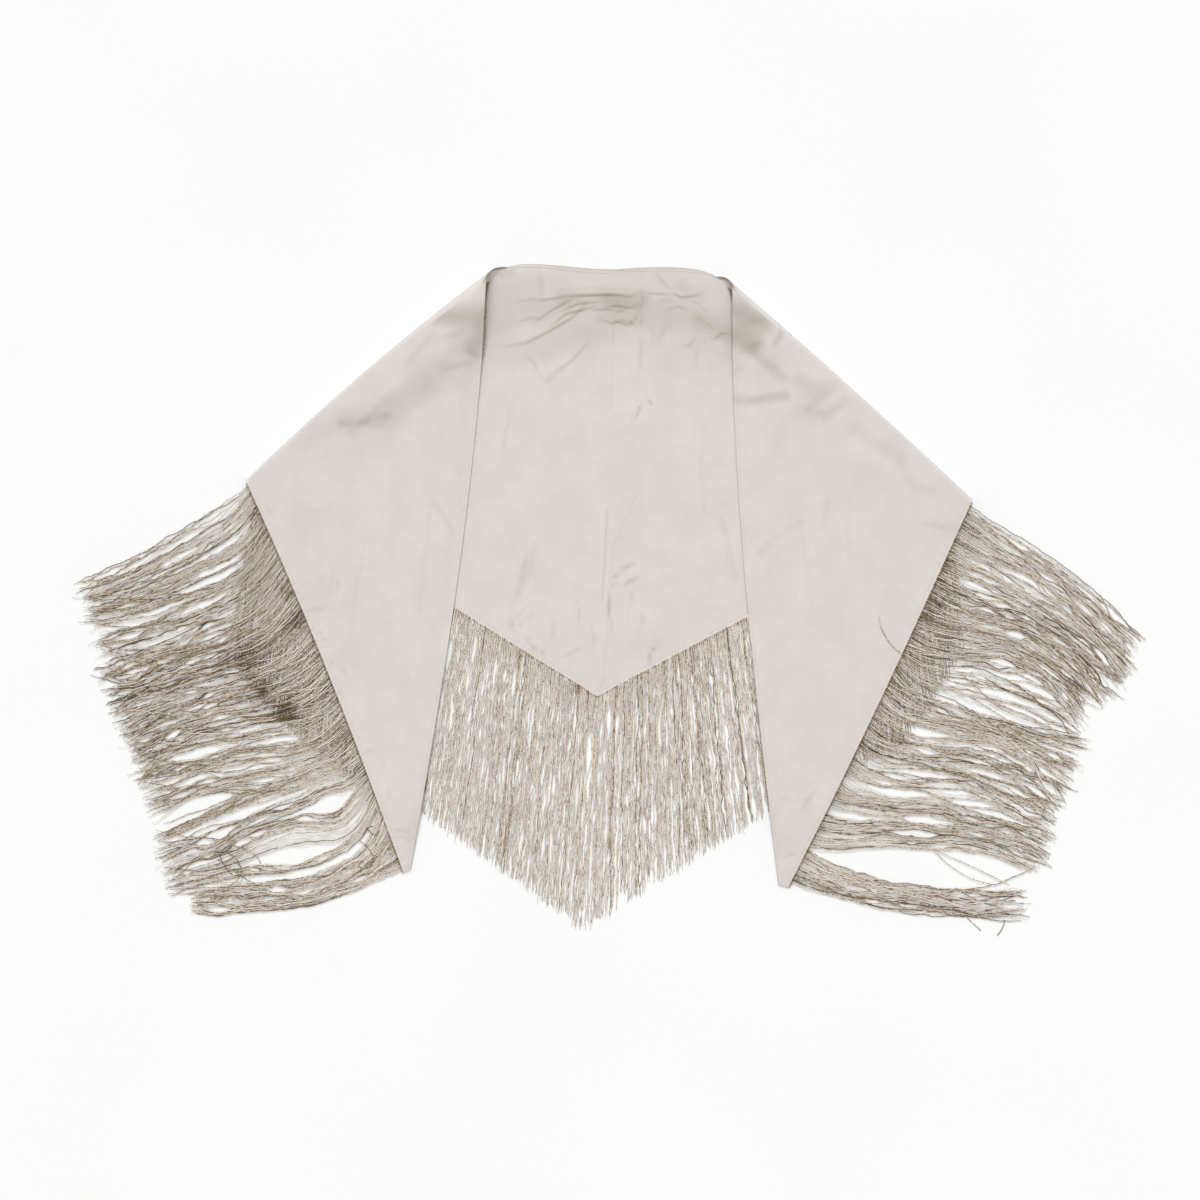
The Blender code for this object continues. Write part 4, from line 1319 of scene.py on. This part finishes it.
def twisted_rayon(name, dark, middle, light):
    """Twisted rayon yarn: a low lustre, a little lighter on top of each turn, uneven in tone."""
    material, tree, shader = new_material(name)
    yarn = add_node(tree, "ShaderNodeAttribute", attribute_name="yarn").outputs["Vector"]
    parts = add_node(tree, "ShaderNodeSeparateXYZ", [(0, yarn)])
    # Patches about 2.4 mm long, which differ from strand to strand
    stretched = add_node(
        tree, "ShaderNodeVectorMath", [(0, yarn), (1, (420.0, 1.0, 1.7))], operation="MULTIPLY"
    )
    patchy = add_node(
        tree, "ShaderNodeTexNoise", [("Vector", stretched.outputs[0]), ("Scale", 1.0), ("Detail", 2.0)]
    )
    tone = add_node(
        tree,
        "ShaderNodeMath",
        [(0, patchy.outputs[0]), (1, 1.9), (2, parts.outputs[1])],
        operation="MULTIPLY_ADD",
    )
    level = add_node(
        tree, "ShaderNodeMapRange", [("Value", tone.outputs[0]), ("From Min", 1.0), ("From Max", 1.9)]
    )
    shades = add_node(tree, "ShaderNodeValToRGB", [("Fac", level.outputs[0])])
    ramp = shades.color_ramp
    ramp.elements.new(0.5).color = linear(middle)
    ramp.elements[0].color = linear(dark)
    ramp.elements[-1].color = linear(light)
    tree.links.new(shades.outputs[0], shader.inputs["Base Color"])
    # A turn of the real yarn is about 1 mm long, too fine to show: it is drawn 2.2 mm long
    turns = add_node(tree, "ShaderNodeVectorMath", [(0, yarn), (1, (450.0, 0.0, 3.1))], operation="MULTIPLY")
    twist = add_node(
        tree, "ShaderNodeTexNoise", [("Vector", turns.outputs[0]), ("Scale", 1.0), ("Detail", 0.0)]
    )
    bump = add_node(
        tree, "ShaderNodeBump", [("Height", twist.outputs[0]), ("Strength", 0.4), ("Distance", 0.0003)]
    )
    tree.links.new(bump.outputs[0], shader.inputs["Normal"])
    shader.inputs["Roughness"].default_value = 0.45
    shader.inputs["Specular IOR Level"].default_value = 0.35
    shader.inputs["Sheen Weight"].default_value = 0.1
    return material


def painted_table():
    """A matt white painted table top, even and very pale."""
    material, tree, shader = new_material("matt_white_paint")
    place = add_node(tree, "ShaderNodeTexCoord").outputs["Object"]
    haze = add_node(tree, "ShaderNodeTexNoise", [("Vector", place), ("Scale", 3.0), ("Detail", 1.0)])
    whites = [(0, haze.outputs[0]), (6, linear("#F9F9F9")), (7, linear("#FCFCFC"))]
    paint = add_node(tree, "ShaderNodeMix", whites, data_type="RGBA")
    tree.links.new(paint.outputs[2], shader.inputs["Base Color"])
    shader.inputs["Roughness"].default_value = 0.9
    shader.inputs["Specular IOR Level"].default_value = 0.1
    return material


def add_stage():
    bpy.ops.object.select_all(action="DESELECT")
    bpy.ops.mesh.primitive_plane_add(size=12, location=(0, 0, -0.0002))
    floor = bpy.context.object
    floor.name = "studio_floor"
    bpy.ops.object.transform_apply(location=True, rotation=True, scale=True)
    floor.data.materials.append(painted_table())
    return floor


def add_camera():
    camera = bpy.data.cameras.new("camera")
    camera.sensor_width = SENSOR
    camera.lens = SENSOR * CAMERA_HEIGHT / VIEW_WIDTH
    camera.clip_end = 20
    obj = bpy.data.objects.new("camera", camera)
    obj.location = placed(np.array((*VIEW_CENTRE, CAMERA_HEIGHT)))
    bpy.context.scene.collection.objects.link(obj)
    bpy.context.scene.camera = obj


def add_sun(panel):
    light = bpy.data.lights.new(panel.name, "SUN")
    light.color = PANEL_COLOUR
    light.energy = panel.energy
    light.angle = math.radians(panel.angle)
    obj = bpy.data.objects.new(panel.name, light)
    obj.rotation_euler = (math.radians(panel.turn[0]), math.radians(panel.turn[1]), 0)
    bpy.context.scene.collection.objects.link(obj)


def add_light():
    scene = bpy.context.scene
    scene.view_settings.view_transform = "Standard"
    world = bpy.data.worlds.new("studio")
    world.use_nodes = True
    world.node_tree.nodes["Background"].inputs["Color"].default_value = ROOM_COLOUR
    world.node_tree.nodes["Background"].inputs["Strength"].default_value = ROOM_STRENGTH
    scene.world = world
    for panel in PANELS:
        add_sun(panel)


add_camera()
add_light()
floor = add_stage()
silk = washed_silk()
rayon = twisted_rayon("twisted_rayon_yarn", "#664D26", "#B59F7E", "#F3E9E0")
thread = twisted_rayon("spun_sewing_thread", "#BDB3A6", "#C6BDB0", "#CFC6BA")

allowance = add_allowance(silk)
for side in HALVES:
    rng = np.random.default_rng(11 if side == "left" else 23)
    half = HALVES[side]
    cloth = add_cloth(side, silk)
    front = add_strands(
        f"fringe_front_{side}_strands", [front_strands(side, rng), stray_strands(side, rng)], rayon
    )
    back = add_strands(
        f"fringe_back_{side}_strands",
        [back_strands(side, rng, SHOWN), back_strands(side, rng, HIDDEN)],
        rayon,
    )
    front_length = length_of(front_hem(half, 1.0) - front_hem(half, 0.0))
    heading = add_strands(
        f"fringe_heading_{side}",
        [chain_heading(side, back_hem, 0.0, SHOWN.end), chain_heading(side, front_hem, 0.0, front_length)],
        rayon,
    )
    rows = [
        stitch_row(side, BACK, NECK_HEM, False),
        stitch_row(side, FRONT, NECK_HEM, False),
        stitch_row(side, BACK, FRINGED_HEM, True),
        stitch_row(side, FRONT, FRINGED_HEM, True),
    ]
    stitches = add_strands(f"stitches_{side}", rows, thread)
    for piece in (cloth, front, back, heading, stitches):
        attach(piece, "root")
    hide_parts(f"cloth_{side}")
    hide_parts(f"fringe_front_{side}")
    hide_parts(f"fringe_back_{side}")
    if side == "right":
        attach(allowance, "root")
